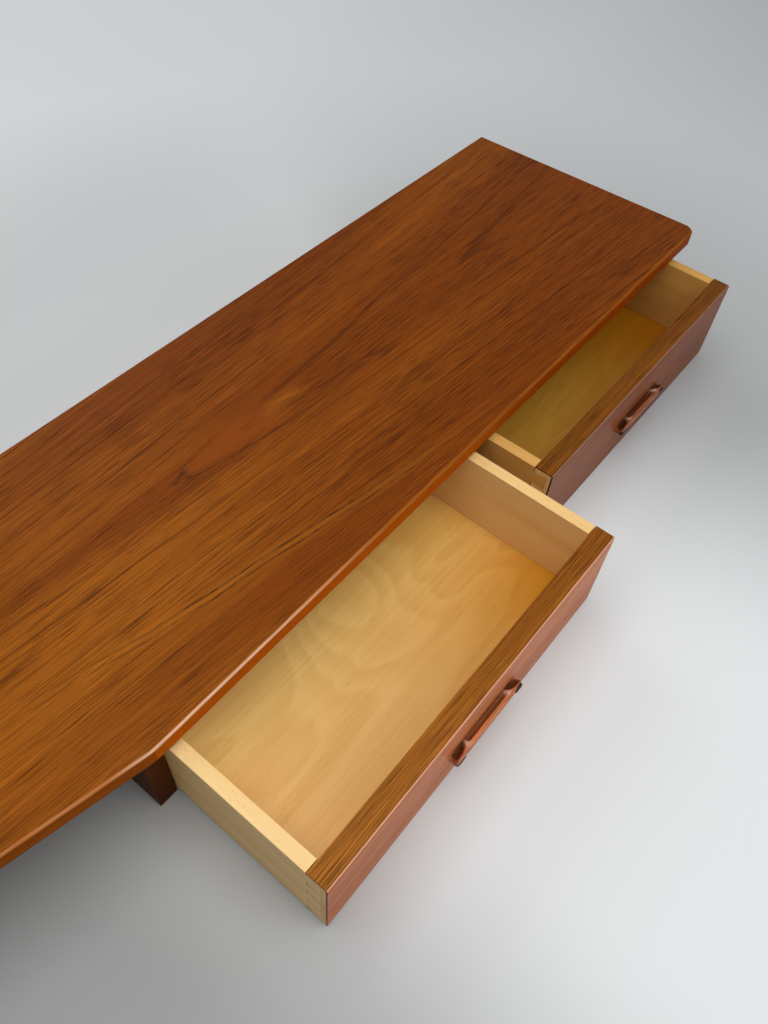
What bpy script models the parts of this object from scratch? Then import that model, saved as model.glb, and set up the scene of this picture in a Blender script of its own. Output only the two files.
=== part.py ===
"""Wall-mounted console table with two dovetailed drawers under an angled top.

The model is in metres with +Z up. The origin lies on the wall plane, at the middle of the top's
length and of the case's height. +X runs along the wall, +Y points into the wall, and both drawers
open towards -Y. The drawers are drawn part open, the left one further than the right one.
"""

import math

import bmesh
import bpy
from mathutils import Matrix, Vector

MM = 0.001

# Top: a veneered board with a solid lipping on every edge but the one at the wall
TOP_LENGTH = 1200.0
TOP_DEPTH = 310.0
TOP_THICK = 18.0
WING_DEPTH = 240.0
KINK_INSET = 8.0
KINK_RADIUS = 70.0
END_CANT = 10.5
CORNER_RADIUS = 13.0
LIPPING = 8.0
UPPER_ARRIS = 3.0
LOWER_ARRIS = 1.8

# Case under the top
CASE_LENGTH = 840.0
CASE_HEIGHT = 107.0
CASE_SETBACK = 12.0
RIGHT_OVERHANG = 16.0
SIDE_THICK = 18.0
DIVIDER_THICK = 20.0
BACK_THICK = 12.0
BACK_REBATE = 9.0
PANEL_ROUND = 3.0

# Runners let into the bottom edges of the sides and the divider
RUNNER_THICK = 4.0
RUNNER_LET_IN = 7.0
RUNNER_FRONT_CLEAR = 1.5
RUNNER_SCREW_FROM_END = 40.0
RUNNER_SCREW_LENGTH = 16.0

# Dowels between the top and the case
DOWEL_DIAMETER = 8.0
DOWEL_IN_TOP = 11.0
DOWEL_IN_PANEL = 14.0
DOWEL_CHAMFER = 1.0
DOWEL_FROM_END = 57.0

# Keyhole hanger plates in the back board
HANGER_WIDTH = 22.0
HANGER_HEIGHT = 54.0
HANGER_THICK = 2.0
HANGER_CORNER = 4.0
HANGER_FROM_END = 62.0
HANGER_FROM_TOP = 11.0
HANGER_SCREW_FROM_END = 6.0
HANGER_SCREW_COVER = 2.0
KEYHOLE_ENTRY = 10.0
KEYHOLE_SLOT = 5.0
KEYHOLE_RISE = 13.0
POCKET_MARGIN = 1.0
POCKET_FLOOR = 3.0

# Drawers
LEFT_OPEN = 165.0
RIGHT_OPEN = 85.0
DRAWER_REAR_CLEAR = 0.5
DRAWER_SIDE_CLEAR = 1.0
DRAWER_TOP_CLEAR = 2.0
DRAWER_FOOT_CLEAR = 2.5
FRONT_THICK = 19.5
VENEER = 1.4
DRAWER_SIDE = 12.0
DRAWER_SIDE_DROP = 0.8
DRAWER_BACK = 10.0
DRAWER_BACK_INSET = 9.0
DRAWER_BACK_DROP = 4.0
HOUSING = 5.0
BOTTOM_THICK = 5.0
BOTTOM_RISE = 12.0
BOTTOM_SCREW_SPACING = 195.0
BOTTOM_SCREW_LENGTH = 18.0
GROOVE = 6.0

# Half-blind dovetails between a drawer's front and its sides
TAIL_COUNT = 4
TAIL_SLOPE = 1.0 / 6.0
PIN_WIDTH = 10.0
HALF_PIN = 9.0
FRONT_LAP = 4.4
SHOULDER_GAP = 0.8

# Carved pull
PULL_LENGTH = 95.0
PULL_HEIGHT = 12.0
PULL_REACH = 9.2
PULL_ROUND = 2.3
PULL_LIP = 4.8
PULL_LIP_ROUND = 1.8
PULL_TROUGH_DEPTH = 6.0
PULL_TROUGH_ROUND = 2.5
PULL_CREST_FROM_END = 13.5
PULL_CREST = 1.6
PULL_LIP_AT_END = 2.4
PULL_FOOT_AT_END = 3.0
PULL_LIP_HEIGHT = 6.0
PULL_SOLE = 4.0
PULL_COVE_RADIUS = 7.0
PULL_COVE_FROM_END = 14.0
PULL_SCREW_FROM_TROUGH = 3.0
PULL_SCREW_DROP = 1.5
PULL_SCREW_BITE = 5.0

# Slotted countersunk wood screws
SCREW_SHANK = 3.0
SCREW_HEAD = 6.0
SCREW_HEAD_DEPTH = 1.8
SCREW_SLOT = 0.9
SCREW_SLOT_DEPTH = 0.8
SCREW_SUNK = 0.3

# Clearances, and how far a cutter runs past what it cuts
SEAT = 0.3
SCREW_CLEAR = 0.15
OVERCUT = 2.0

# Facets of round forms
ARC_STEPS = 8
ROUND_STEPS = 3
SCREW_STEPS = 12
DOWEL_STEPS = 16
KEYHOLE_STEPS = 16
COVE_STEPS = 24
SCOOP_STEPS = 24
SMOOTH_UNDER = math.radians(35)
TOUCH = 0.01

# Levels and planes that follow from the sizes
UNDERSIDE = CASE_HEIGHT / 2
TOP_FACE = UNDERSIDE + TOP_THICK
FLOOR = -CASE_HEIGHT / 2
PANEL_TOP = UNDERSIDE - SEAT
CASE_FRONT = -TOP_DEPTH + CASE_SETBACK
CASE_RIGHT = TOP_LENGTH / 2 - RIGHT_OVERHANG
CASE_LEFT = CASE_RIGHT - CASE_LENGTH
LEFT_INNER = CASE_LEFT + SIDE_THICK
RIGHT_INNER = CASE_RIGHT - SIDE_THICK
BAY_WIDTH = (RIGHT_INNER - LEFT_INNER - DIVIDER_THICK) / 2
DIVIDER_LEFT = LEFT_INNER + BAY_WIDTH
DIVIDER_RIGHT = DIVIDER_LEFT + DIVIDER_THICK
BACK_FACE = -BACK_THICK
RUNNER_FRONT = CASE_FRONT + FRONT_THICK + RUNNER_FRONT_CLEAR
RUNNER_BACK = BACK_FACE - SEAT
RUNNER_TOP = FLOOR + RUNNER_THICK
RUNNER_LEDGE = DRAWER_SIDE_CLEAR + DRAWER_SIDE
DRAWER_WIDTH = BAY_WIDTH - 2 * DRAWER_SIDE_CLEAR
DRAWER_LENGTH = BACK_FACE - CASE_FRONT - DRAWER_REAR_CLEAR
FRONT_TOP = UNDERSIDE - DRAWER_TOP_CLEAR
FRONT_FOOT = FLOOR + DRAWER_FOOT_CLEAR
CORE_TOP = FRONT_TOP - VENEER - SEAT
BOX_TOP = FRONT_TOP - DRAWER_SIDE_DROP
BOX_FOOT = RUNNER_TOP + SEAT
BOTTOM_LOW = BOX_FOOT + BOTTOM_RISE
BOTTOM_HIGH = BOTTOM_LOW + BOTTOM_THICK
TAIL_LENGTH = FRONT_THICK - VENEER - SEAT - FRONT_LAP
PULL_LEVEL = (FRONT_TOP + FRONT_FOOT) / 2
PULL_LOW = PULL_LEVEL - PULL_HEIGHT / 2
PULL_HIGH = PULL_LEVEL + PULL_HEIGHT / 2

# Each finish is a colour, a roughness and a metallic value
TEAK = ((0.36, 0.13, 0.045, 1.0), 0.42, 0.0)
BEECH = ((0.72, 0.5, 0.26, 1.0), 0.5, 0.0)
PLYWOOD = ((0.66, 0.44, 0.22, 1.0), 0.55, 0.0)
STEEL = ((0.55, 0.55, 0.53, 1.0), 0.35, 1.0)
BRASS = ((0.66, 0.5, 0.22, 1.0), 0.32, 1.0)

# Turns that lay a plate's thickness along an axis
PLATE_TURNS = {
    "x": Matrix(((0, 0, 1), (1, 0, 0), (0, 1, 0))).to_4x4(),
    "y": Matrix(((1, 0, 0), (0, 0, -1), (0, 1, 0))).to_4x4(),
    "z": Matrix.Identity(4),
}


def clear_scene():
    for old in list(bpy.data.objects):
        bpy.data.objects.remove(old, do_unlink=True)


def new_collection(name, helper):
    made = bpy.data.collections.new(name)
    bpy.context.scene.collection.children.link(made)
    made.hide_render = helper
    return made


def material_for(name, finish):
    colour, roughness, metallic = finish
    made = bpy.data.materials.new(name)
    made.use_nodes = True
    shader = made.node_tree.nodes["Principled BSDF"]
    shader.inputs["Base Color"].default_value = colour
    shader.inputs["Roughness"].default_value = roughness
    shader.inputs["Metallic"].default_value = metallic
    return made


def add_object(mesh, name, finish):
    """A named piece with its own material, or a cutter where there is no finish."""
    made = bpy.data.objects.new(name, mesh)
    if finish is None:
        CUTTERS.objects.link(made)
        made.hide_render = True
        made.display_type = "WIRE"
    else:
        PIECES.objects.link(made)
        mesh.materials.append(material_for(name, finish))
    return made


def object_from(shape, name, finish):
    """An object from a bmesh in millimetres, with its origin at its own middle."""
    bmesh.ops.recalc_face_normals(shape, faces=shape.faces)
    bmesh.ops.scale(shape, vec=(MM, MM, MM), verts=shape.verts)
    low = Vector([min(vert.co[i] for vert in shape.verts) for i in range(3)])
    high = Vector([max(vert.co[i] for vert in shape.verts) for i in range(3)])
    middle = (low + high) / 2
    bmesh.ops.translate(shape, vec=-middle, verts=shape.verts)
    mesh = bpy.data.meshes.new(name)
    shape.to_mesh(mesh)
    shape.free()
    mesh.shade_smooth()
    mesh.set_sharp_from_angle(angle=SMOOTH_UNDER)
    made = add_object(mesh, name, finish)
    made.location = middle
    return made


def block(across, along, up):
    """A rectangular bmesh block from its three (low, high) spans."""
    spans = (across, along, up)
    shape = bmesh.new()
    bmesh.ops.create_cube(shape, size=1.0)
    bmesh.ops.scale(shape, vec=[high - low for low, high in spans], verts=shape.verts)
    bmesh.ops.translate(shape, vec=[(low + high) / 2 for low, high in spans], verts=shape.verts)
    return shape


def plate(outlines, low, high, axis):
    """A bmesh plate with closed flat outlines, lying between two values along an axis."""
    curve = bpy.data.curves.new("outline", "CURVE")
    curve.dimensions = "2D"
    curve.fill_mode = "BOTH"
    curve.extrude = (high - low) / 2
    for outline in outlines:
        spline = curve.splines.new("POLY")
        spline.points.add(len(outline) - 1)
        for point, (first, second) in zip(spline.points, outline):
            point.co = (first, second, 0, 1)
        spline.use_cyclic_u = True
    holder = bpy.data.objects.new("outline", curve)
    CUTTERS.objects.link(holder)
    seen = holder.evaluated_get(bpy.context.evaluated_depsgraph_get())
    mesh = bpy.data.meshes.new_from_object(seen)
    shape = bmesh.new()
    shape.from_mesh(mesh)
    bpy.data.meshes.remove(mesh)
    bpy.data.objects.remove(holder, do_unlink=True)
    bpy.data.curves.remove(curve)
    bmesh.ops.remove_doubles(shape, verts=shape.verts, dist=TOUCH)
    if len(outlines) == 1:
        bmesh.ops.dissolve_limit(shape, angle_limit=1e-3, verts=shape.verts, edges=shape.edges)
    bmesh.ops.transform(shape, matrix=PLATE_TURNS[axis], verts=shape.verts)
    along = Vector([float(axis == letter) for letter in "xyz"])
    bmesh.ops.translate(shape, vec=along * (low + high) / 2, verts=shape.verts)
    return shape


def rod(radius, length, steps, place):
    """A plain cylinder as a bmesh, centred on its own length and then put in place."""
    shape = bmesh.new()
    bmesh.ops.create_cone(shape, cap_ends=True, segments=steps, radius1=radius, radius2=radius, depth=length)
    bmesh.ops.transform(shape, matrix=place, verts=shape.verts)
    return shape


def turned(profile, steps, name, finish):
    """An object of revolution about Z from (radius, height) points that run down its outer side."""
    mesh = bpy.data.meshes.new(name)
    points = [(radius * MM, 0.0, height * MM) for radius, height in profile]
    mesh.from_pydata(points, [(k, k + 1) for k in range(len(points) - 1)], [])
    made = add_object(mesh, name, finish)
    spin = made.modifiers.new("turning", "SCREW")
    spin.axis = "Z"
    spin.angle = 2 * math.pi
    spin.steps = steps
    spin.render_steps = steps
    spin.use_smooth_shade = True
    spin.use_merge_vertices = True
    spin.merge_threshold = 1e-6
    return made


def put(piece, at, direction):
    """Places a piece at a point, with its -Z side turned along a direction."""
    piece.location = Vector(at) * MM
    piece.rotation_euler = Vector((0, 0, -1)).rotation_difference(Vector(direction)).to_euler()


def weigh_edges(shape, weight_of):
    """Marks edges for a Bevel modifier with the weight that a rule gives to their two ends."""
    layer = shape.edges.layers.float.new("bevel_weight_edge")
    for edge in shape.edges:
        edge[layer] = weight_of(edge.verts[0].co, edge.verts[1].co)


def round_edges(piece, width):
    bevel = piece.modifiers.new("rounding", "BEVEL")
    bevel.width = width * MM
    bevel.segments = ROUND_STEPS
    bevel.limit_method = "WEIGHT"


def cut(piece, cutter):
    tool = piece.modifiers.new("cut", "BOOLEAN")
    tool.operation = "DIFFERENCE"
    tool.solver = "EXACT"
    tool.object = cutter


def screw(name, surface_at, direction, length, finish, hosts):
    """A slotted countersunk screw, and the seat for it in every piece that it passes through."""
    head = SCREW_HEAD / 2
    shank = SCREW_SHANK / 2
    at = Vector(surface_at) + Vector(direction) * SCREW_SUNK
    profile = [(0, 0), (head, 0), (shank, -SCREW_HEAD_DEPTH), (shank, shank - length), (0, -length)]
    made = turned(profile, SCREW_STEPS, name, finish)
    put(made, at, direction)
    seat = [
        (0, OVERCUT),
        (head + SCREW_CLEAR, OVERCUT),
        (head + SCREW_CLEAR, 0),
        (shank + SCREW_CLEAR, -SCREW_HEAD_DEPTH),
        (shank + SCREW_CLEAR, shank - length),
        (0, -length - 2 * SCREW_CLEAR),
    ]
    cutter = turned(seat, SCREW_STEPS, name + "_seat", None)
    put(cutter, at, direction)
    for host in hosts:
        cut(host, cutter)
    slot_across = (-head - OVERCUT, head + OVERCUT)
    slot_along = (-SCREW_SLOT / 2, SCREW_SLOT / 2)
    slot_up = (-SCREW_SLOT_DEPTH, SCREW_SLOT_DEPTH)
    slot = object_from(block(slot_across, slot_along, slot_up), name + "_slot", None)
    put(slot, at, direction)
    cut(made, slot)


def rounded_corner(before, corner, after, radius):
    """The arc that rounds a corner of an outline, as points from one edge to the next."""
    inward = (before - corner).normalized()
    onward = (after - corner).normalized()
    half = inward.angle(onward) / 2
    centre = corner + (inward + onward).normalized() * (radius / math.sin(half))
    start = corner + inward * (radius / math.tan(half)) - centre
    end = corner + onward * (radius / math.tan(half)) - centre
    first = math.atan2(start.y, start.x)
    sweep = math.atan2(start.x * end.y - start.y * end.x, start.dot(end))
    arc = []
    for step in range(ARC_STEPS + 1):
        angle = first + sweep * step / ARC_STEPS
        arc.append(centre + Vector((math.cos(angle), math.sin(angle))) * radius)
    return arc


def inset_corner(before, corner, after, distance):
    """The corner of a line that runs at one distance inside two edges of the outline."""
    inward = (before - corner).normalized()
    onward = (after - corner).normalized()
    half = inward.angle(onward) / 2
    return corner + (inward + onward).normalized() * (distance / math.sin(half))


def inset_at_wall(end, corner, distance):
    """Where a line inside an end of the top meets the wall edge."""
    run = (corner - end).normalized()
    sign = -1 if end.x > 0 else 1
    return Vector((end.x + sign * distance / abs(run.y), end.y))


def inset_line(corners, distance):
    """The top's outline moved inwards, from the right end at the wall round to the left end."""
    wall_right, front_right = corners[:2]
    front_left, wall_left = corners[-2:]
    line = [inset_at_wall(wall_right, front_right, distance)]
    for before, corner, after in zip(corners, corners[1:], corners[2:]):
        line.append(inset_corner(before, corner, after, distance))
    line.append(inset_at_wall(wall_left, front_left, distance))
    return line


def mitre_shift(outer, inner, towards):
    """Half a seat's gap, square to a mitre line and towards the piece that it ends."""
    line = (inner - outer).normalized()
    square = Vector((-line.y, line.x))
    if square.dot(towards) < 0:
        square = -square
    return square * (SEAT / 2)


def add_lipping(name, outer, inner):
    """A solid strip between an outer and an inner line, with an arris along its outer edges."""
    shape = plate([outer + inner[::-1]], UNDERSIDE, TOP_FACE, "z")
    middle = (UNDERSIDE + TOP_FACE) / 2

    def on_outer(point):
        return any((point.xy - Vector(corner)).length < TOUCH for corner in outer)

    def weight_of(a, b):
        level = abs(a.z - b.z) < TOUCH
        if not (level and on_outer(a) and on_outer(b)):
            return 0.0
        return 1.0 if a.z > middle else LOWER_ARRIS / UPPER_ARRIS

    weigh_edges(shape, weight_of)
    round_edges(object_from(shape, name, TEAK), UPPER_ARRIS)


def build_top():
    """The veneered board and its four lippings, mitred where they meet."""
    half = TOP_LENGTH / 2
    left_cant = END_CANT * WING_DEPTH / TOP_DEPTH
    corners = [
        Vector((half, 0)),
        Vector((half + END_CANT, -TOP_DEPTH)),
        Vector((CASE_LEFT + KINK_INSET, -TOP_DEPTH)),
        Vector((-half - left_cant, -WING_DEPTH)),
        Vector((-half, 0)),
    ]
    board_line = inset_line(corners, LIPPING + SEAT)
    board = object_from(plate([[tuple(p) for p in board_line]], UNDERSIDE, TOP_FACE, "z"), "top_board", TEAK)

    inner = inset_line(corners, LIPPING)
    radii = (CORNER_RADIUS, KINK_RADIUS, CORNER_RADIUS)
    arcs = [[corners[0]]]
    for k, radius in enumerate(radii, start=1):
        arcs.append(rounded_corner(corners[k - 1], corners[k], corners[k + 1], radius))
    arcs.append([corners[-1]])
    for k, name in enumerate(("right_lipping", "front_lipping", "wing_lipping", "left_lipping")):
        start_mitre = len(arcs[k]) // 2
        end_mitre = len(arcs[k + 1]) // 2
        outer_line = arcs[k][start_mitre:] + arcs[k + 1][: end_mitre + 1]
        inner_line = [inner[k], inner[k + 1]]
        run = corners[k + 1] - corners[k]
        if start_mitre:
            shift = mitre_shift(outer_line[0], inner_line[0], run)
            outer_line[0] = outer_line[0] + shift
            inner_line[0] = inner_line[0] + shift
        if end_mitre:
            shift = mitre_shift(outer_line[-1], inner_line[-1], -run)
            outer_line[-1] = outer_line[-1] + shift
            inner_line[-1] = inner_line[-1] + shift
        add_lipping(name, [tuple(p) for p in outer_line], [tuple(p) for p in inner_line])
    return board


def at_front_foot(a, b):
    """Whether an edge is the lower one of a panel's front."""
    at_front = max(a.y, b.y) < CASE_FRONT + TOUCH
    at_foot = max(a.z, b.z) < FLOOR + TOUCH
    return at_front and at_foot


def side_panel(name, outer, inner, runner_name):
    """A case side with a rebate for the back board, and the runner let into its bottom edge."""
    sign = 1 if inner > outer else -1
    rebate = inner - sign * BACK_REBATE
    outline = [
        (outer, CASE_FRONT),
        (inner, CASE_FRONT),
        (inner, BACK_FACE - SEAT),
        (rebate, BACK_FACE - SEAT),
        (rebate, 0),
        (outer, 0),
    ]
    shape = plate([outline], FLOOR, PANEL_TOP, "z")

    def weight_of(a, b):
        at_foot = max(a.z, b.z) < FLOOR + TOUCH
        outside = max(abs(a.x - outer), abs(b.x - outer)) < TOUCH
        return float(at_front_foot(a, b) or (at_foot and outside))

    weigh_edges(shape, weight_of)
    panel = object_from(shape, name, TEAK)
    round_edges(panel, PANEL_ROUND)
    add_runner(runner_name, panel, inner, sign)
    return panel


def add_runner(name, panel, face, sign):
    """A runner under one row of drawer sides, let into a panel's bottom edge and screwed up to it."""
    root = face - sign * RUNNER_LET_IN
    tip = face + sign * RUNNER_LEDGE
    across = sorted((root, tip))
    runner = object_from(block(across, (RUNNER_FRONT, RUNNER_BACK), (FLOOR, RUNNER_TOP)), name, BEECH)
    seat_across = sorted((root - sign * SEAT, face + sign * OVERCUT))
    seat_along = (RUNNER_FRONT - SEAT, RUNNER_BACK + OVERCUT)
    seat = block(seat_across, seat_along, (FLOOR - OVERCUT, RUNNER_TOP + SEAT))
    cut(panel, object_from(seat, name + "_seat", None))
    screw_x = face - sign * RUNNER_LET_IN / 2
    rows = {"front": RUNNER_FRONT + RUNNER_SCREW_FROM_END, "rear": RUNNER_BACK - RUNNER_SCREW_FROM_END}
    for end, y in rows.items():
        at = (screw_x, y, FLOOR)
        screw(f"{name}_screw_{end}", at, (0, 0, 1), RUNNER_SCREW_LENGTH, STEEL, (runner, panel))


def add_dowels(name, x, panel, board):
    """Two dowels from a panel's top edge up into the top board."""
    radius = DOWEL_DIAMETER / 2
    nose = radius - DOWEL_CHAMFER
    half = (DOWEL_IN_TOP + DOWEL_IN_PANEL) / 2
    middle = UNDERSIDE + (DOWEL_IN_TOP - DOWEL_IN_PANEL) / 2
    profile = [
        (0, half),
        (nose, half),
        (radius, half - DOWEL_CHAMFER),
        (radius, DOWEL_CHAMFER - half),
        (nose, -half),
        (0, -half),
    ]
    rows = {"front": CASE_FRONT + DOWEL_FROM_END, "rear": BACK_FACE - DOWEL_FROM_END}
    for end, y in rows.items():
        dowel = turned(profile, DOWEL_STEPS, f"{name}_dowel_{end}", BEECH)
        dowel.location = Vector((x, y, middle)) * MM
        place = Matrix.Translation((x, y, middle))
        hole = rod(radius + SCREW_CLEAR, 2 * half + 2 * SEAT, DOWEL_STEPS, place)
        cutter = object_from(hole, f"{name}_dowel_{end}_hole", None)
        cut(panel, cutter)
        cut(board, cutter)


def build_case(board):
    """Both sides, the divider and the back board, with runners, dowels and hangers."""
    left = side_panel("left_side", CASE_LEFT, LEFT_INNER, "left_runner")
    right = side_panel("right_side", CASE_RIGHT, RIGHT_INNER, "right_runner")
    shape = block((DIVIDER_LEFT, DIVIDER_RIGHT), (CASE_FRONT, BACK_FACE - SEAT), (FLOOR, PANEL_TOP))
    weigh_edges(shape, lambda a, b: float(at_front_foot(a, b)))
    divider = object_from(shape, "divider", TEAK)
    round_edges(divider, PANEL_ROUND)
    add_runner("centre_left_runner", divider, DIVIDER_LEFT, -1)
    add_runner("centre_right_runner", divider, DIVIDER_RIGHT, 1)
    inset = SIDE_THICK - BACK_REBATE + SEAT
    back_span = (CASE_LEFT + inset, CASE_RIGHT - inset)
    back = object_from(block(back_span, (BACK_FACE, 0), (FLOOR, PANEL_TOP)), "back_board", TEAK)
    add_dowels("left", (CASE_LEFT + LEFT_INNER) / 2, left, board)
    add_dowels("divider", (DIVIDER_LEFT + DIVIDER_RIGHT) / 2, divider, board)
    add_dowels("right", (CASE_RIGHT + RIGHT_INNER) / 2, right, board)
    add_hanger("left_hanger", CASE_LEFT + HANGER_FROM_END, back)
    add_hanger("right_hanger", CASE_RIGHT - HANGER_FROM_END, back)


def keyhole(x, low):
    """The keyhole's outline in (x, z): a round entry with a narrower slot that rises from it."""
    entry = KEYHOLE_ENTRY / 2
    slot = KEYHOLE_SLOT / 2
    neck = math.asin(slot / entry)
    outline = []
    for step in range(KEYHOLE_STEPS + 1):
        angle = math.pi / 2 + neck + (2 * math.pi - 2 * neck) * step / KEYHOLE_STEPS
        outline.append((x + entry * math.cos(angle), low + entry * math.sin(angle)))
    for step in range(ARC_STEPS + 1):
        angle = math.pi * step / ARC_STEPS
        outline.append((x + slot * math.cos(angle), low + KEYHOLE_RISE + slot * math.sin(angle)))
    return outline


def rounded_rectangle(low_a, high_a, low_b, high_b, radius):
    """A rectangle's outline with its four corners rounded."""
    corners = [Vector(p) for p in ((low_a, low_b), (high_a, low_b), (high_a, high_b), (low_a, high_b))]
    outline = []
    for k in range(4):
        arc = rounded_corner(corners[k - 1], corners[k], corners[(k + 1) % 4], radius)
        outline += [tuple(p) for p in arc]
    return outline


def add_hanger(name, x, back):
    """A steel keyhole plate flush in the back board, with a pocket behind it for the wall screw's head."""
    half = HANGER_WIDTH / 2
    high = PANEL_TOP - HANGER_FROM_TOP
    low = high - HANGER_HEIGHT
    entry_at = (low + high - KEYHOLE_RISE) / 2
    rim = rounded_rectangle(x - half, x + half, low, high, HANGER_CORNER)
    hanger = object_from(plate([rim, keyhole(x, entry_at)], -HANGER_THICK, 0, "y"), name, STEEL)
    grown = (x - half - SEAT, x + half + SEAT, low - SEAT, high + SEAT)
    recess = plate([rounded_rectangle(*grown, HANGER_CORNER + SEAT)], -HANGER_THICK - SEAT, OVERCUT, "y")
    cut(back, object_from(recess, name + "_recess", None))
    wide = KEYHOLE_ENTRY / 2 + POCKET_MARGIN
    pocket = block((x - wide, x + wide), (POCKET_FLOOR - BACK_THICK, OVERCUT),
                   (entry_at - wide, entry_at + KEYHOLE_RISE + wide))
    cut(back, object_from(pocket, name + "_pocket", None))
    length = BACK_THICK - HANGER_SCREW_COVER - SCREW_SUNK
    rows = {"upper": high - HANGER_SCREW_FROM_END, "lower": low + HANGER_SCREW_FROM_END}
    for end, level in rows.items():
        screw(f"{name}_screw_{end}", (x, 0, level), (0, -1, 0), length, STEEL, (hanger, back))


def tail_outlines(base, rear, grow):
    """The tails at the front end of a drawer side, each as four (y, z) corners. grow widens them."""
    pitch = (BOX_TOP - BOX_FOOT - 2 * HALF_PIN + PIN_WIDTH) / TAIL_COUNT
    tip = base - TAIL_LENGTH - grow
    flare = TAIL_SLOPE * (rear - tip)
    tails = []
    for k in range(TAIL_COUNT):
        low = BOX_FOOT + HALF_PIN + k * pitch - grow
        high = low + pitch - PIN_WIDTH + 2 * grow
        tails.append([(rear, low), (tip, low - flare), (tip, high + flare), (rear, high)])
    return tails


def drawer_side(name, base, rear, outer, inner, cutters):
    """A drawer side with tails at its front end, a groove for the bottom and a housing for the back."""
    shoulder = base + SHOULDER_GAP
    outline = [(shoulder, BOX_FOOT)]
    for tail in tail_outlines(base, shoulder, 0):
        outline += tail
    outline += [(shoulder, BOX_TOP), (rear, BOX_TOP), (rear, BOX_FOOT)]
    made = object_from(plate([outline], min(outer, inner), max(outer, inner), "x"), name, BEECH)
    for cutter in cutters:
        cut(made, cutter)


def build_front(name, left, right, face, base):
    """A drawer's pale front board with its tail sockets, its face veneer and its top strip."""
    across = (left, right)
    core = (face + VENEER + SEAT, base)
    skin = (face, face + VENEER)
    front = object_from(block(across, core, (FRONT_FOOT, CORE_TOP)), name + "_front", BEECH)
    veneer = object_from(block(across, skin, (FRONT_FOOT, FRONT_TOP)), name + "_face_veneer", TEAK)
    object_from(block(across, core, (CORE_TOP + SEAT, FRONT_TOP)), name + "_top_strip", TEAK)
    sockets = tail_outlines(base, base + OVERCUT, SEAT)
    reach = DRAWER_SIDE + SEAT
    ends = {"left": (left - OVERCUT, left + reach), "right": (right - reach, right + OVERCUT)}
    for side, (low, high) in ends.items():
        cut(front, object_from(plate(sockets, low, high, "x"), f"{name}_{side}_sockets", None))
    return front, veneer


def trough_outline(face):
    """The section of the pull's finger trough in (y, z), open to the drawer's face and above."""
    floor = PULL_HIGH - PULL_TROUGH_DEPTH
    wall = face - PULL_REACH + PULL_LIP
    over_lip = wall - PULL_LIP_ROUND
    root = Vector((face, floor))
    foot = Vector((wall, floor))
    brow = Vector((wall, PULL_HIGH))
    crown = Vector((over_lip, PULL_HIGH))
    outline = [(face + OVERCUT, PULL_HIGH + OVERCUT), (face + OVERCUT, floor)]
    outline += [tuple(p) for p in rounded_corner(root, foot, brow, PULL_TROUGH_ROUND)]
    outline += [tuple(p) for p in rounded_corner(foot, brow, crown, PULL_LIP_ROUND)]
    outline.append((over_lip, PULL_HIGH + OVERCUT))
    return outline


def cove_cutter(name, centre, face):
    """The round-ended gouge that hollows the pull below its lip.

    Its section is the circle of one radius that leaves the lip's height on the outer side and the
    sole's width on the underside.
    """
    radius = PULL_COVE_RADIUS
    upper = Vector((PULL_REACH, PULL_HIGH - PULL_LIP_HEIGHT))
    lower = Vector((PULL_SOLE, PULL_LOW))
    chord = upper - lower
    square = Vector((chord.y, -chord.x)).normalized()
    middle = (upper + lower) / 2 + square * math.sqrt(radius**2 - (chord.length / 2) ** 2)
    straight = PULL_LENGTH / 2 - PULL_COVE_FROM_END - radius
    profile = []
    for sign in (1, -1):
        for step in range(ARC_STEPS + 1):
            angle = math.pi / 2 * (step if sign > 0 else ARC_STEPS - step) / ARC_STEPS
            profile.append((radius * math.sin(angle), sign * (straight + radius * math.cos(angle))))
    cove = turned(profile, COVE_STEPS, name, None)
    put(cove, (centre, face - middle.x, middle.y), (1, 0, 0))
    return cove


def build_pull(name, centre, face):
    """A carved pull: a finger trough behind its lip, a scoop at each end and a cove below."""
    half = PULL_LENGTH / 2
    reach = half - PULL_CREST_FROM_END
    shape = block((centre - half, centre + half), (face - PULL_REACH, face), (PULL_LOW, PULL_HIGH))
    weigh_edges(shape, lambda a, b: float(max(a.y, b.y) < face - TOUCH))
    pull = object_from(shape, name, TEAK)
    round_edges(pull, PULL_ROUND)
    trough = plate([trough_outline(face)], centre - reach, centre + reach, "x")
    cut(pull, object_from(trough, name + "_trough", None))
    cut(pull, cove_cutter(name + "_cove", centre, face))
    size = Matrix.Diagonal((
        PULL_CREST_FROM_END - PULL_CREST,
        PULL_REACH - PULL_LIP_AT_END,
        PULL_HEIGHT - PULL_FOOT_AT_END,
        1.0,
    ))
    for side, sign in (("left", -1), ("right", 1)):
        scoop = bmesh.new()
        bmesh.ops.create_uvsphere(scoop, u_segments=SCOOP_STEPS, v_segments=SCOOP_STEPS // 2, radius=1.0)
        place = Matrix.Translation((centre + sign * half, face, PULL_HIGH))
        bmesh.ops.transform(scoop, matrix=place @ size, verts=scoop.verts)
        cut(pull, object_from(scoop, f"{name}_{side}_scoop", None))
    return pull


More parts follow.
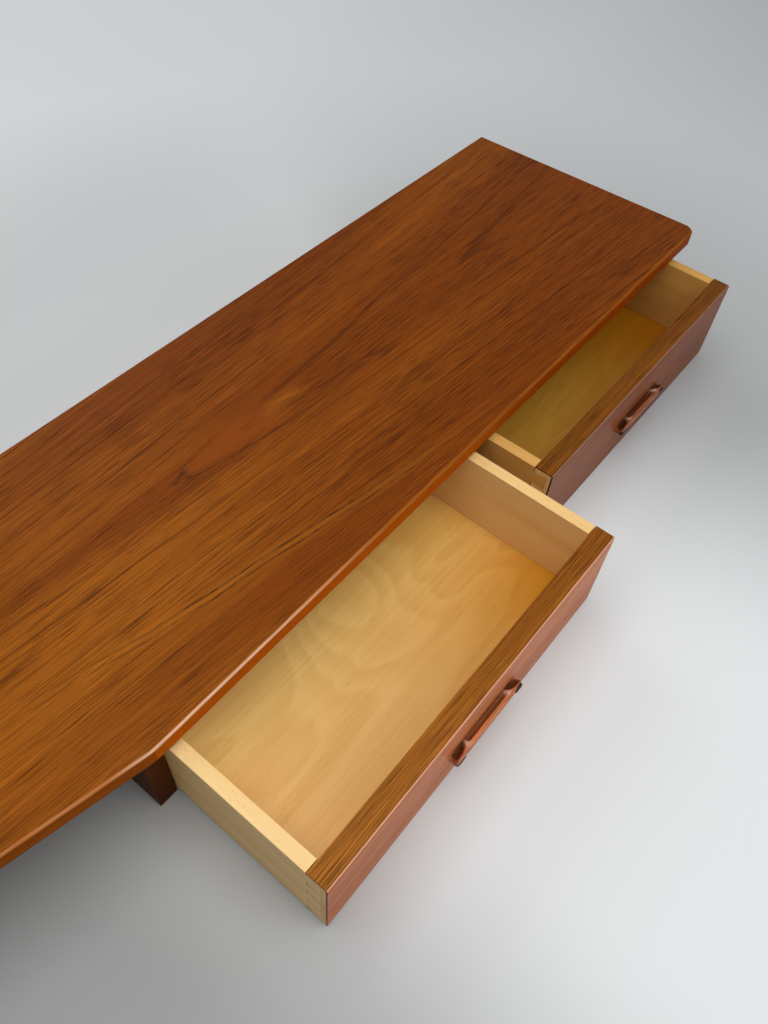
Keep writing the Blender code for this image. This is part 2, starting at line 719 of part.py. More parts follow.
def build_drawer(name, centre, opened):
    """One drawer: dovetailed box, let-in bottom, veneered front and screwed-on pull."""
    before = set(bpy.data.objects)
    left = centre - DRAWER_WIDTH / 2
    right = centre + DRAWER_WIDTH / 2
    left_in = left + DRAWER_SIDE
    right_in = right - DRAWER_SIDE
    face = CASE_FRONT - opened
    base = face + FRONT_THICK
    rear = face + DRAWER_LENGTH
    back_rear = rear - DRAWER_BACK_INSET
    back_front = back_rear - DRAWER_BACK

    front, veneer = build_front(name, left, right, face, base)
    groove_across = (left_in - GROOVE, right_in + GROOVE)
    groove_along = (base - GROOVE, rear + OVERCUT)
    groove = object_from(block(groove_across, groove_along, (BOTTOM_LOW - SEAT, BOTTOM_HIGH + SEAT)),
                         name + "_groove", None)
    housing_across = (left_in - HOUSING, right_in + HOUSING)
    housing_along = (back_front - SEAT, back_rear + SEAT)
    housing = object_from(block(housing_across, housing_along, (BOTTOM_LOW, BOX_TOP + OVERCUT)),
                          name + "_housing", None)
    cut(front, groove)
    drawer_side(name + "_left_side", base, rear, left, left_in, (groove, housing))
    drawer_side(name + "_right_side", base, rear, right, right_in, (groove, housing))
    back_across = (left_in - HOUSING + SEAT, right_in + HOUSING - SEAT)
    back_up = (BOTTOM_HIGH + SEAT, BOX_TOP - DRAWER_BACK_DROP)
    back = object_from(block(back_across, (back_front, back_rear), back_up), name + "_back", BEECH)
    bottom_across = (left_in - GROOVE + SEAT, right_in + GROOVE - SEAT)
    bottom_along = (base - GROOVE + SEAT, rear)
    bottom_up = (BOTTOM_LOW, BOTTOM_HIGH)
    bottom = object_from(block(bottom_across, bottom_along, bottom_up), name + "_bottom", PLYWOOD)
    pull = build_pull(name + "_pull", centre, face - SEAT)

    pull_reach = PULL_LENGTH / 2 - PULL_CREST_FROM_END + PULL_SCREW_FROM_TROUGH
    pull_screw_length = FRONT_THICK + SEAT - SCREW_SUNK + PULL_SCREW_BITE
    for side, sign in (("left", -1), ("right", 1)):
        at = (centre + sign * pull_reach, base, PULL_LEVEL - PULL_SCREW_DROP)
        screw(f"{name}_pull_screw_{side}", at, (0, -1, 0), pull_screw_length, BRASS, (front, veneer, pull))
        at = (centre + sign * BOTTOM_SCREW_SPACING / 2, (back_front + back_rear) / 2, BOTTOM_LOW)
        screw(f"{name}_bottom_screw_{side}", at, (0, 0, 1), BOTTOM_SCREW_LENGTH, STEEL, (bottom, back))

    slide = bpy.data.objects.new(name + "_slide", None)
    slide.location = Vector((centre, base, BOX_FOOT)) * MM
    PIECES.objects.link(slide)
    for piece in set(bpy.data.objects) - before - {slide}:
        piece.parent = slide
        piece.location -= slide.location


clear_scene()
PIECES = new_collection("wall_console", False)
CUTTERS = new_collection("cutters", True)
build_case(build_top())
build_drawer("left_drawer", LEFT_INNER + BAY_WIDTH / 2, LEFT_OPEN)
build_drawer("right_drawer", RIGHT_INNER - BAY_WIDTH / 2, RIGHT_OPEN)
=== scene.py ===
# %% [markdown]
# This lesson dresses a wall-mounted console table: a veneered teak top with an angled wing, a shallow case
# under it, and two dovetailed drawers that stand part open.
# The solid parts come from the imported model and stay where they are. Here they get their finishes, and a few
# pieces whose roundings matter to the eye, the top, its lippings and the carved pulls, are worked out again as
# finer surfaces. Shapes are worked out in millimetres and made in metres, in the model's own frame.

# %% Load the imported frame
import math

import bpy
import numpy as np
from mathutils import Matrix, Vector


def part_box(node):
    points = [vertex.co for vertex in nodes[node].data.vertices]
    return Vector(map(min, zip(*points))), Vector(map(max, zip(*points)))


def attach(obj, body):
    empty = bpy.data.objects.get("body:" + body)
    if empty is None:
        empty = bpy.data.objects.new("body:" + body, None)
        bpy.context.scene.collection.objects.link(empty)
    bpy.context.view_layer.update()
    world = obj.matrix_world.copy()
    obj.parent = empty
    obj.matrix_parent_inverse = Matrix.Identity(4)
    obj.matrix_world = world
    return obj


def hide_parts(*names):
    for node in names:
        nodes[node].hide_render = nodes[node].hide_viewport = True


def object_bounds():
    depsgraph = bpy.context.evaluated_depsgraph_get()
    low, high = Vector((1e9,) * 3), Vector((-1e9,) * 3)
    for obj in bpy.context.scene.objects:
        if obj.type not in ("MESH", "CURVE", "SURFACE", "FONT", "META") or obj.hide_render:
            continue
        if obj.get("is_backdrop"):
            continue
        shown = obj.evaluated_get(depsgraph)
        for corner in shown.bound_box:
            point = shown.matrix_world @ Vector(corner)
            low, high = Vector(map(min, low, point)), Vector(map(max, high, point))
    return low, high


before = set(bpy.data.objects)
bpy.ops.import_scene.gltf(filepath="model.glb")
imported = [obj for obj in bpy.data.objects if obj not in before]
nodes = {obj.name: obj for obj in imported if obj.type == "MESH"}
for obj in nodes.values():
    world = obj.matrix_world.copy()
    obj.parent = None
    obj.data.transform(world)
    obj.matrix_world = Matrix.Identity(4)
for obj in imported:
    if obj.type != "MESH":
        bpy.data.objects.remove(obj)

cad_low, cad_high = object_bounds()
scene = bpy.context.scene
MM = 0.001

# %% [markdown]
# The camera comes first, because every choice of finish is judged through it. The table is seen from above its
# left front, close up, with a wide lens, so the near drawer looks large and the far end falls away.
# A camera can be aimed with angles or with a Track To constraint. Here its three directions are written out,
# since a matrix holds the slight roll of a hand-held view as well.

# %% The camera
RIGHTWARD = Vector((0.62935128, -0.77525044, 0.05388628))
DOWNWARD = Vector((-0.59644858, -0.52632117, -0.60599927))
FORWARD = Vector((0.49816269, 0.34924602, -0.79363793))
VIEWPOINT = Vector((-0.3455, -0.5574, 0.6615))

camera = bpy.data.objects.new("viewpoint", bpy.data.cameras.new("viewpoint"))
camera.data.lens = 29.97
camera.data.clip_start = 0.02
aim = Matrix((RIGHTWARD, -DOWNWARD, -FORWARD)).transposed().to_4x4()
aim.translation = VIEWPOINT
camera.matrix_world = aim
scene.collection.objects.link(camera)
bpy.context.scene.camera = camera
print(f"camera {camera.data.lens} mm, {VIEWPOINT.length:.2f} m from the origin")

# %% [markdown]
# A few small helpers turn arrays into meshes. A surface here is a grid: rows of points along one parameter,
# points in a row along the other. Joining neighbours gives four-sided faces, and the sign of the volume that
# the faces enclose tells whether they point outwards, so no hand-flipping is needed.

# %% From grids to meshes
def grid_faces(rows, columns, wrap):
    """Faces between neighbouring points of a grid; with wrap, the last column joins the first."""
    across = columns if wrap else columns - 1
    row, column = np.meshgrid(np.arange(rows - 1), np.arange(across), indexing="ij")
    right = (column + 1) % columns
    corners = (row * columns + column, row * columns + right, (row + 1) * columns + right, (row + 1) * columns + column)
    return np.stack(corners, axis=-1).reshape(-1, 4)


def enclosed_volume(points, quads):
    """Six times the volume under the faces: the sum of the triple products of each face's two triangles."""
    a, b, c, d = (points[quads[:, k]] for k in range(4))
    return np.sum(a * np.cross(b, c)) + np.sum(a * np.cross(c, d))


def make_piece(name, points, quads, caps, body, finish, crease):
    """A mesh object from an array of points, its quads and its end caps, with edges sharper than crease kept."""
    if enclosed_volume(points, quads) < 0:
        quads = quads[:, ::-1]
        caps = [cap[::-1] for cap in caps]
    mesh = bpy.data.meshes.new(name)
    mesh.from_pydata(points.tolist(), [], quads.tolist() + [list(map(int, cap)) for cap in caps])
    mesh.validate()
    mesh.shade_smooth()
    mesh.set_sharp_from_angle(angle=math.radians(crease))
    mesh.materials.append(finish)
    piece = bpy.data.objects.new(name, mesh)
    scene.collection.objects.link(piece)
    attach(piece, body)
    print(f"{name}: {len(mesh.vertices)} points, {len(mesh.polygons)} faces")
    return piece


def make_bar(name, grid, body, finish, crease):
    """A closed piece from a grid in millimetres whose rows are rings, with a cap on the first and the last."""
    rows, columns = grid.shape[:2]
    caps = [np.arange(columns)[::-1], np.arange((rows - 1) * columns, rows * columns)]
    return make_piece(name, grid.reshape(-1, 3) * MM, grid_faces(rows, columns, True), caps, body, finish, crease)


# %% [markdown]
# Materials are node trees, and a tree is easier to read when one line places a node and joins it up. The first
# helper sets a node's own options, gives plain numbers to its sockets and links whatever is already a socket.
# The others place the few kinds of node that all the finishes are made of.

# %% Placing nodes
def place(tree, kind, sockets, **options):
    """A new node of that kind; sockets maps a name or number to a value or to an output to link."""
    made = tree.nodes.new("ShaderNode" + kind)
    for option, value in options.items():
        setattr(made, option, value)
    for key, value in sockets.items():
        if isinstance(value, bpy.types.NodeSocket):
            tree.links.new(value, made.inputs[key])
        else:
            made.inputs[key].default_value = value
    return made


def join(kind, sockets, **options):
    """A new node in the tree of the first output that it reads."""
    read = next(value for value in sockets.values() if isinstance(value, bpy.types.NodeSocket))
    return place(read.id_data, kind, sockets, **options)


def sum_up(operation, *terms):
    """The output of a Math node."""
    return join("Math", dict(enumerate(terms)), operation=operation).outputs[0]


def less(a, b):
    """The first value less the second."""
    return sum_up("SUBTRACT", a, b)


def add_part(a, b, rest):
    """The product of two values, added to the rest."""
    return sum_up("MULTIPLY_ADD", a, b, rest)


def all_of(first, *others):
    """The product of several masks."""
    for mask in others:
        first = sum_up("MULTIPLY", first, mask)
    return first


def step_between(value, low, high, start=0.0, end=1.0):
    """A smooth step of a value: start below low, end above high."""
    sockets = {"Value": value, "From Min": low, "From Max": high, "To Min": start, "To Max": end}
    return join("MapRange", sockets, interpolation_type="SMOOTHSTEP").outputs[0]


def rise_and_fall(value, rise, fall, high=1.0, after=0.0):
    """A mask that steps up to high over one range of a value, and from there to after over a later range."""
    return all_of(step_between(value, *rise), step_between(value, *fall, high, after))


def grey(value):
    """A value as a colour."""
    return join("CombineXYZ", {"X": value, "Y": value, "Z": value}).outputs[0]


def blend_colours(share, a, b, mode="MIX"):
    """The output of a colour Mix node."""
    return join("Mix", {0: share, 6: a, 7: b}, data_type="RGBA", blend_type=mode).outputs[2]


def stretched_noise(where, scale, detail=2.0, roughness=0.5, shift=(0.0, 0.0, 0.0), distortion=0.0):
    """Noise from 0 to 1 whose features are drawn out by a different scale along each axis."""
    spread = join("Mapping", {"Vector": where, "Scale": scale, "Location": shift})
    sockets = {"Vector": spread.outputs[0], "Scale": 1.0, "Detail": detail, "Roughness": roughness,
               "Distortion": distortion}
    return join("TexNoise", sockets).outputs[0]


def swing(where, scale, **options):
    """The same noise about zero, from -0.5 to 0.5."""
    return less(stretched_noise(where, scale, **options), 0.5)


print("node helpers ready")

# %% [markdown]
# The table stands on a pale paper sweep. A flat plane would end at a hard horizon in a low view, so the floor
# is a wide dish: level round the table, then rising as the square of the distance past its level part. Beside
# and behind the table the paper is painted greyer, a painted shade for a fall-off that soft light alone doesn't
# give, darkest to the left in front of the wing. Far from the table it is seen paler than it is lit, but only by
# the camera and in reflections, so that no light from it reaches the wood.

# %% The paper floor
FLOOR_LEVEL = cad_low.z - 0.0002
DISH_CENTRE = -0.2
PAPER, PALER_PAPER = (0.72, 0.735, 0.74, 1), (0.77, 0.785, 0.79, 1)
LEFT_SHADE_GREY, RIGHT_SHADE_GREY = (0.35, 0.355, 0.35, 1), (0.45, 0.46, 0.46, 1)


def seen_ray(tree):
    """1 for a ray from the camera, or for a mirrored or transmitted one; 0 for the light that falls on things."""
    ray = place(tree, "LightPath", {}).outputs
    mirrored = sum_up("MAXIMUM", ray["Is Glossy Ray"], ray["Is Transmission Ray"])
    return sum_up("MAXIMUM", ray["Is Camera Ray"], mirrored)


def paper_dish(level_radius=2.4, rim=5.0, rise=0.25, rings=40, spokes=96):
    """Points at radius r and turn a; the height is the floor's, plus a rise times (r - level radius)^2."""
    radius = np.concatenate([[0.001], np.linspace(0.5, rim, rings)])
    turn = np.linspace(0, 2 * np.pi, spokes, endpoint=False)
    r, a = np.meshgrid(radius, turn, indexing="ij")
    height = FLOOR_LEVEL + rise * np.maximum(r - level_radius, 0) ** 2
    dish = np.stack([r * np.cos(a), r * np.sin(a) + DISH_CENTRE, height], axis=-1)
    return dish.reshape(-1, 3), grid_faces(rings + 1, spokes, True)


paper = bpy.data.materials.new("paper_sweep")
paper.use_nodes = True
tree = paper.node_tree
shader = tree.nodes["Principled BSDF"]
where = place(tree, "TexCoord", {}).outputs["Object"]
mottle = stretched_noise(where, (1.4, 1.4, 1.4), detail=3.0)
colour = blend_colours(mottle, PAPER, PALER_PAPER)
axes = join("SeparateXYZ", {0: where}).outputs
right_side = rise_and_fall(axes["X"], (0.18, 0.52), (0.6, 1.1), after=0.4)
near_side = rise_and_fall(axes["Y"], (-1.1, -0.65), (-0.3, 0.6), after=0.1)
left_side = rise_and_fall(axes["X"], (-0.95, -0.5), (-0.36, -0.08))
# Painted shade: the paper to the left of the table, in front of the wing, is a darker grey.
colour = blend_colours(all_of(left_side, near_side), colour, LEFT_SHADE_GREY)
# Painted shade: the paper to the right, in front of the right drawer, and behind the table is greyer.
behind = rise_and_fall(axes["Y"], (-0.1, 0.2), (0.3, 0.8), high=0.6)
behind = all_of(behind, step_between(axes["X"], 0.2, 0.7, 1.0, 0.3))
floor_shade = sum_up("MAXIMUM", all_of(right_side, near_side), behind)
colour = blend_colours(floor_shade, colour, RIGHT_SHADE_GREY)
tree.links.new(colour, shader.inputs["Base Color"])
shader.inputs["Roughness"].default_value = 0.65
shader.inputs["Specular IOR Level"].default_value = 0.3
away = step_between(join("VectorMath", {0: where}, operation="LENGTH").outputs["Value"], 1.7, 3.6)
tree.links.new(grey(all_of(away, seen_ray(tree))), shader.inputs["Emission Color"])
shader.inputs["Emission Strength"].default_value = 0.27

points, quads = paper_dish()
floor_mesh = bpy.data.meshes.new("paper_floor")
floor_mesh.from_pydata(points.tolist(), [], quads.tolist())
floor_mesh.shade_smooth()
floor_mesh.materials.append(paper)
floor = bpy.data.objects.new("paper_floor", floor_mesh)
scene.collection.objects.link(floor)
floor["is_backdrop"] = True
print(f"paper floor at {FLOOR_LEVEL * 1000:.1f} mm, {len(quads)} faces")

# %% [markdown]
# Most of the light is a pale room all round, which darkens the floor gently close to anything that stands on
# it, and which is dimmer to the left. A soft lamp hangs low over the left half, so the far end falls off, and
# weak ones in front and behind lift the drawer faces and the paper. The level is plain: a surface that faces up
# comes out about as its colour is written.

# %% Soft studio light
def soft_lamp(name, at, towards, size, watts):
    """A square area lamp at a point, turned to face another point."""
    lamp = bpy.data.objects.new(name, bpy.data.lights.new(name, "AREA"))
    lamp.data.shape = "SQUARE"
    lamp.data.size = size
    lamp.data.energy = watts
    lamp.location = at
    lamp.rotation_euler = (Vector(towards) - Vector(at)).to_track_quat("-Z", "Y").to_euler()
    scene.collection.objects.link(lamp)


soft_lamp("overhead_softbox", (-0.22, -0.3, 1.25), (-0.2, -0.3, 0.0), 1.0, 8)
soft_lamp("front_softbox", (0.1, -1.4, 1.4), (0.0, -0.3, 0.0), 1.2, 10)
soft_lamp("back_softbox", (0.9, 2.2, 1.7), (1.0, 0.8, 0.0), 1.4, 22)

room = bpy.data.worlds.new("pale_room")
room.use_nodes = True
tree = room.node_tree
sideways = join("SeparateXYZ", {0: place(tree, "TexCoord", {}).outputs["Generated"]}).outputs["X"]
brightness = sum_up("MAXIMUM", step_between(sideways, -0.9, 0.2), seen_ray(tree))
paleness = blend_colours(brightness, (0.2, 0.205, 0.21, 1), (0.9, 0.93, 0.95, 1))
tree.links.new(paleness, tree.nodes["Background"].inputs["Color"])
tree.nodes["Background"].inputs["Strength"].default_value = 0.5
scene.world = room
bpy.context.scene.view_settings.view_transform = "Standard"
print("three soft lamps and a pale room")

# %% [markdown]
# Teak shows its growth rings as dark lines. Where a board is sliced near the heart of the trunk the lines
# close into long tongues, and away from it they run straight. Both come from one formula: the distance of a
# point from the trunk's heart line, which dips through the board at a slight slope. Counting that distance in
# ring widths gives the place within a ring and, through a white noise of the ring's number, a tone per ring.
# A wave texture would give straight stripes only, so the distance is worked out instead.

# %% Growth rings as a shared effect
def new_effect(name, inputs, outputs):
    """What a new shader node group is given and puts out; both are listed as (name, type, default)."""
    tree = bpy.data.node_groups.new(name, "ShaderNodeTree")
    for side, listed in (("INPUT", inputs), ("OUTPUT", outputs)):
        for label, kind, default in listed:
            socket = tree.interface.new_socket(label, in_out=side, socket_type="NodeSocket" + kind)
            if default is not None:
                socket.default_value = default
    return tree.nodes.new("NodeGroupInput").outputs, tree.nodes.new("NodeGroupOutput").inputs


def put_out(result, **values):
    """Links each value to the group's output of that name."""
    tree = result[0].id_data
    for label, value in values.items():
        tree.links.new(value, result[label])
    print(f"{tree.name}: {len(tree.nodes)} nodes")


RING_INPUTS = [("Place", "Vector", None), ("Heart along", "Float", 0.3), ("Heart across", "Float", -0.14),
               ("Heart dip", "Float", 0.06), ("Ring width", "Float", 0.006), ("Wander", "Float", 0.03)]

given, result = new_effect("growth_rings", RING_INPUTS, [("Ring", "Float", None), ("Tone", "Float", None)])
axes = join("SeparateXYZ", {0: given["Place"]}).outputs
sway = swing(given["Place"], (1.7, 7.0, 7.0))
heave = swing(given["Place"], (1.1, 3.0, 3.0), shift=(7.0, 3.0, 1.0))
across = less(axes["Y"], given["Heart across"])
across = add_part(sway, given["Wander"], across)
depth = less(axes["X"], given["Heart along"])
depth = add_part(depth, given["Heart dip"], axes["Z"])
depth = add_part(heave, given["Wander"], depth)
section = join("CombineXYZ", {"X": across, "Y": depth}).outputs[0]
distance = join("VectorMath", {0: section}, operation="LENGTH").outputs["Value"]
count = sum_up("DIVIDE", distance, given["Ring width"])
ragged = swing(given["Place"], (7.0, 110.0, 110.0), detail=3.0)
count = add_part(ragged, 0.5, count)
number = sum_up("FLOOR", count)
tone = join("TexWhiteNoise", {"W": number}, noise_dimensions="1D").outputs["Value"]
put_out(result, Ring=sum_up("FRACT", count), Tone=tone)

# %% [markdown]
# Close up, teak is full of short dark pores and long fine streaks that all run with the grain. Both are noises
# drawn out along the length, the pores cut off at a threshold so that only the deepest show as dashes.

# %% Streaks and pores as a shared effect
given, result = new_effect("streaks_and_pores", [("Place", "Vector", None), ("Fineness", "Float", 1.0)],
                           [("Streak", "Float", None), ("Pore", "Float", None)])
finer = join("CombineXYZ", {"X": 1.0, "Y": given["Fineness"], "Z": given["Fineness"]}).outputs[0]
where = join("VectorMath", {0: given["Place"], 1: finer}, operation="MULTIPLY").outputs[0]
streak = stretched_noise(where, (7.0, 700.0, 700.0), detail=3.0, roughness=0.65)
pore = stretched_noise(where, (24.0, 1300.0, 1300.0), detail=1.0, shift=(3.0, 5.0, 2.0))
thin_out = stretched_noise(where, (4.0, 30.0, 30.0), detail=1.0, shift=(1.0, 9.0, 4.0))
depth = add_part(thin_out, 0.34, less(pore, 0.17))
put_out(result, Streak=step_between(streak, 0.3, 0.7), Pore=step_between(depth, 0.54, 0.63))

# %% [markdown]
# The colour of oiled teak lies between a red-brown body and a golden early wood, with dark ring lines that fade
# in and out along their length. One group mixes these, so that the top, the drawer faces, the strips and the
# pulls can each have their own colours and ring sizes and still be the same wood. Its height output sinks the
# lines and pores a little for the bump.

# %% Oiled teak as a shared effect
TEAK_INPUTS = RING_INPUTS + [("Fineness", "Float", 1.0), ("Body", "Color", (0.2, 0.046, 0.004, 1)),
                             ("Gold", "Color", (0.31, 0.09, 0.008, 1)), ("Line", "Color", (0.045, 0.01, 0.002, 1)),
                             ("Line strength", "Float", 0.8), ("Gold at left", "Float", 0.0), ("Matt", "Float", 0.4)]
OUTPUTS = [("Color", "Color", None), ("Roughness", "Float", None), ("Height", "Float", None)]


def place_effect(effect, sockets):
    """A shared effect placed in another tree, with its sockets set or linked."""
    return join("Group", sockets, node_tree=bpy.data.node_groups[effect])


given, result = new_effect("oiled_teak", TEAK_INPUTS, OUTPUTS)
rings = place_effect("growth_rings", {label: given[label] for label, _, _ in RING_INPUTS}).outputs
fibre = place_effect("streaks_and_pores", {label: given[label] for label in ("Place", "Fineness")}).outputs
broad = stretched_noise(given["Place"], (0.8, 11.0, 11.0), shift=(2.0, 4.0, 6.0))
narrow = stretched_noise(given["Place"], (1.3, 70.0, 70.0), shift=(6.0, 2.0, 3.0))
golden = sum_up("ADD", step_between(broad, 0.35, 0.7, -0.3, 0.52), step_between(narrow, 0.3, 0.7, -0.1, 0.2))
golden = add_part(rings["Tone"], 0.16, golden)
# Towards the left end the colour turns lighter and more golden: partly the wood's own tone, partly a painted light for
# the lamp over the left half.
lengthwise = join("SeparateXYZ", {0: given["Place"]}).outputs["X"]
leftward = step_between(lengthwise, -0.3, 0.1, 1.0, -0.4)
golden = add_part(given["Gold at left"], leftward, golden)
colour = blend_colours(golden, given["Body"], given["Gold"])
shade = step_between(fibre["Streak"], 0.0, 1.0, 0.78, 1.14)
colour = blend_colours(1.0, colour, grey(shade), "MULTIPLY")
late = rise_and_fall(rings["Ring"], (0.8, 0.94), (0.97, 1.0))
strong = step_between(rings["Tone"], 0.3, 0.7, 0.15, 1.0)
fading = stretched_noise(given["Place"], (3.5, 60.0, 60.0), shift=(5.0, 1.0, 8.0))
line = all_of(late, strong, step_between(fading, 0.34, 0.6), given["Line strength"])
colour = blend_colours(line, colour, given["Line"])
pore = sum_up("MULTIPLY", fibre["Pore"], 0.6)
colour = blend_colours(pore, colour, given["Line"])
rough = add_part(pore, 0.15, given["Matt"])
rough = add_part(line, 0.1, rough)
sunk = sum_up("ADD", sum_up("MULTIPLY", line, 0.5), pore)
relief = less(sum_up("MULTIPLY", fibre["Streak"], 0.3), sunk)
put_out(result, Color=colour, Roughness=rough, Height=relief)

# %% [markdown]
# Each teak finish places that group with its own values. The pattern reads Object coordinates, which are the
# model's own metres, or the length and girth stored in a piece's UV map where the grain has to follow a bent
# strip. A Mapping node turns the pattern so that its X axis runs with the grain.

# %% Teak finishes
QUARTER = math.radians(90)
STRAIGHT = dict(Heart_dip=0.0, Heart_across=2.0)


def new_finish(name, effect, values, specular, relief, source="Object", turn=(0, 0, 0), shift=(0, 0, 0)):
    """A Principled material fed by a shared effect; turn and shift lay the pattern along the piece."""
    made = bpy.data.materials.new(name)
    made.use_nodes = True
    tree = made.node_tree
    shader = tree.nodes["Principled BSDF"]
    where = place(tree, "TexCoord", {}).outputs[source]
    where = join("Mapping", {"Vector": where, "Rotation": turn, "Location": shift}).outputs[0]
    grain = place_effect(effect, {"Place": where, **values})
    grain.name = "grain"
    tree.links.new(grain.outputs["Color"], shader.inputs["Base Color"])
    tree.links.new(grain.outputs["Roughness"], shader.inputs["Roughness"])
    bump = join("Bump", {"Height": grain.outputs["Height"], "Strength": 0.5, "Distance": relief})
    tree.links.new(bump.outputs[0], shader.inputs["Normal"])
    shader.inputs["Specular IOR Level"].default_value = specular
    return made


def teak(name, source="Object", turn=(0, 0, 0), specular=0.05, **values):
    """An oiled teak finish; the values are those of the shared effect, by their names with underscores."""
    named = {label.replace("_", " "): value for label, value in values.items()}
    return new_finish(name, "oiled_teak", named, specular, relief=0.0002, source=source, turn=turn)


top_teak = teak("top_veneer_teak", Heart_along=-0.04, Heart_across=-0.137, Heart_dip=-0.02, Ring_width=0.008,
                Wander=0.018, specular=0.035, Line_strength=0.6, Gold_at_left=0.5,
                Body=(0.185, 0.041, 0.003, 1), Gold=(0.3, 0.085, 0.006, 1))
lipping_teak = teak("lipping_teak", source="UV", **STRAIGHT, Ring_width=0.004, Wander=0.012, Matt=0.34,
                    specular=0.005, Line_strength=0.5, Body=(0.25, 0.064, 0.006, 1), Gold=(0.37, 0.112, 0.01, 1))
strip_teak = teak("top_strip_teak", **STRAIGHT, Ring_width=0.0027, Wander=0.002, Line_strength=1.0, Gold_at_left=0.4,
                  Body=(0.23, 0.068, 0.006, 1), Gold=(0.4, 0.14, 0.015, 1), Line=(0.055, 0.014, 0.003, 1))
face_teak = teak("face_veneer_teak", turn=(QUARTER, 0, 0), **STRAIGHT, Ring_width=0.004, Wander=0.01, specular=0.14,
                 Line_strength=0.5, Body=(0.57, 0.16, 0.042, 1), Gold=(0.67, 0.21, 0.06, 1),
                 Line=(0.22, 0.055, 0.018, 1))
pull_teak = teak("pull_teak", Heart_dip=0.0, Heart_across=-0.4, Ring_width=0.0036, Wander=0.004, Matt=0.2,
                 specular=0.3, Line_strength=0.3, Body=(0.62, 0.18, 0.055, 1), Gold=(0.72, 0.25, 0.085, 1))
# The case panels get a far darker teak than the top, a painted shade for the deep shadow they stand in under the top.
panel_teak = teak("case_panel_teak", turn=(0, QUARTER, QUARTER), **STRAIGHT, Ring_width=0.006, Wander=0.02,
                  specular=0.02, Body=(0.075, 0.018, 0.002, 1), Gold=(0.12, 0.032, 0.004, 1))
print("teak finishes:", len([m for m in bpy.data.materials if "teak" in m.name]))

# %% [markdown]
# The real table is not plain teak all over. The upper arris of the top is paler where it is rubbed, with a painted
# highlight along it near the bend, and the sawn ends of the drawer fronts have drunk oil and gone dark. Some light
# is painted on too: a painted shade in the hollows of the pulls and under their lips, a painted highlight on each
# pull's crest and along the top of each drawer face, a painted shadow behind the pulls, a painted shade over the
# right drawer and a painted orange glow of thrown-up light on the front edge. Each is one colour laid over the
# finish by a mask: the place along and round the lipping in its UV map, the place within a drawer, or what the
# pull's own mesh carries as attributes.

# %% Marks of use and light on the teak
HALF_DRAWER, DRAWER_PITCH, FIRST_DRAWER = 0.195, 0.412, -0.042
BETWEEN_DRAWERS = (0.16, 0.17)
# Colours laid on as painted light: a glow of light thrown up onto the front edge, and highlights, partly with wear,
# along the arris and the drawer faces.
FAR_GLOW, NEAR_GLOW = (0.33, 0.048, 0.001, 1), (0.53, 0.105, 0.0015, 1)
RUBBED_HIGHLIGHT, WORN_HIGHLIGHT, FACE_EDGE_HIGHLIGHT = (0.45, 0.14, 0.024, 1), (0.8, 0.5, 0.35, 1), (0.85, 0.48, 0.33, 1)


def lay_over(finish, share, colour, mode="MIX"):
    """Lays a colour over the finish's pattern, by a share between 0 and 1."""
    tree = finish.node_tree
    base = tree.nodes["Principled BSDF"].inputs["Base Color"]
    tree.links.new(blend_colours(share, base.links[0].from_socket, colour, mode), base)


def along_axis(tree, axis, source="Object"):
    """One coordinate of the point, from the model's own metres or from the UV map."""
    return join("SeparateXYZ", {0: place(tree, "TexCoord", {}).outputs[source]}).outputs[axis]


def across_drawer(tree):
    """How far a point lies to the right of its own drawer's middle: X wrapped by the drawers' spacing."""
    x = less(along_axis(tree, "X"), FIRST_DRAWER)
    return sum_up("WRAP", x, DRAWER_PITCH / 2, -DRAWER_PITCH / 2)


def off_middle(tree):
    """How far a point lies from its own drawer's middle, to either side."""
    return sum_up("ABSOLUTE", across_drawer(tree))


def sawn_ends(tree):
    """1 on the last tenth of a millimetre at either end of a drawer front, 0 between."""
    return step_between(off_middle(tree), HALF_DRAWER - 0.0003, HALF_DRAWER - 0.0001)


def on_right_drawer(tree):
    """1 on the right drawer, 0 on the left one."""
    return step_between(along_axis(tree, "X"), *BETWEEN_DRAWERS)


tree = face_teak.node_tree
height = along_axis(tree, "Z")
# Painted highlight: a pale line along the top edge of each drawer face.
lay_over(face_teak, step_between(height, 0.0509, 0.0513, 0.0, 0.45), FACE_EDGE_HIGHLIGHT)
# Painted shadow: the drawer face is darker behind each pull.
shadow_behind_pull = all_of(step_between(off_middle(tree), 0.034, 0.046, 1.0, 0.0),
                     step_between(height, -0.004, -0.002), step_between(height, 0.0048, 0.0064, 1.0, 0.0))
lay_over(face_teak, shadow_behind_pull, (0.3, 0.2, 0.16, 1), "MULTIPLY")
# Painted shade: the right drawer's strip and face are darker, for the light falling off towards the right; the sawn
# ends are darker from oil.
for finish, darker in ((strip_teak, (0.62, 0.59, 0.54, 1)), (face_teak, (0.48, 0.47, 0.46, 1))):
    lay_over(finish, on_right_drawer(finish.node_tree), darker, "MULTIPLY")
    lay_over(finish, sawn_ends(finish.node_tree), (0.28, 0.22, 0.2, 1), "MULTIPLY")

tree = lipping_teak.node_tree
length_at, way_round = along_axis(tree, "X", "UV"), along_axis(tree, "Y", "UV")
patchy = stretched_noise(place(tree, "TexCoord", {}).outputs["UV"], (22.0, 500.0, 1.0), detail=3.0)
# Painted light: an orange glow of light thrown up onto the front edge, stronger towards the bend.
glowing = blend_colours(step_between(length_at, 2.3, 2.55), FAR_GLOW, NEAR_GLOW)
on_front = rise_and_fall(length_at, (1.9, 2.0), (3.9, 4.05), high=0.75, after=0.2)
lay_over(lipping_teak, all_of(on_front, step_between(way_round, 0.0262, 0.028)), glowing)
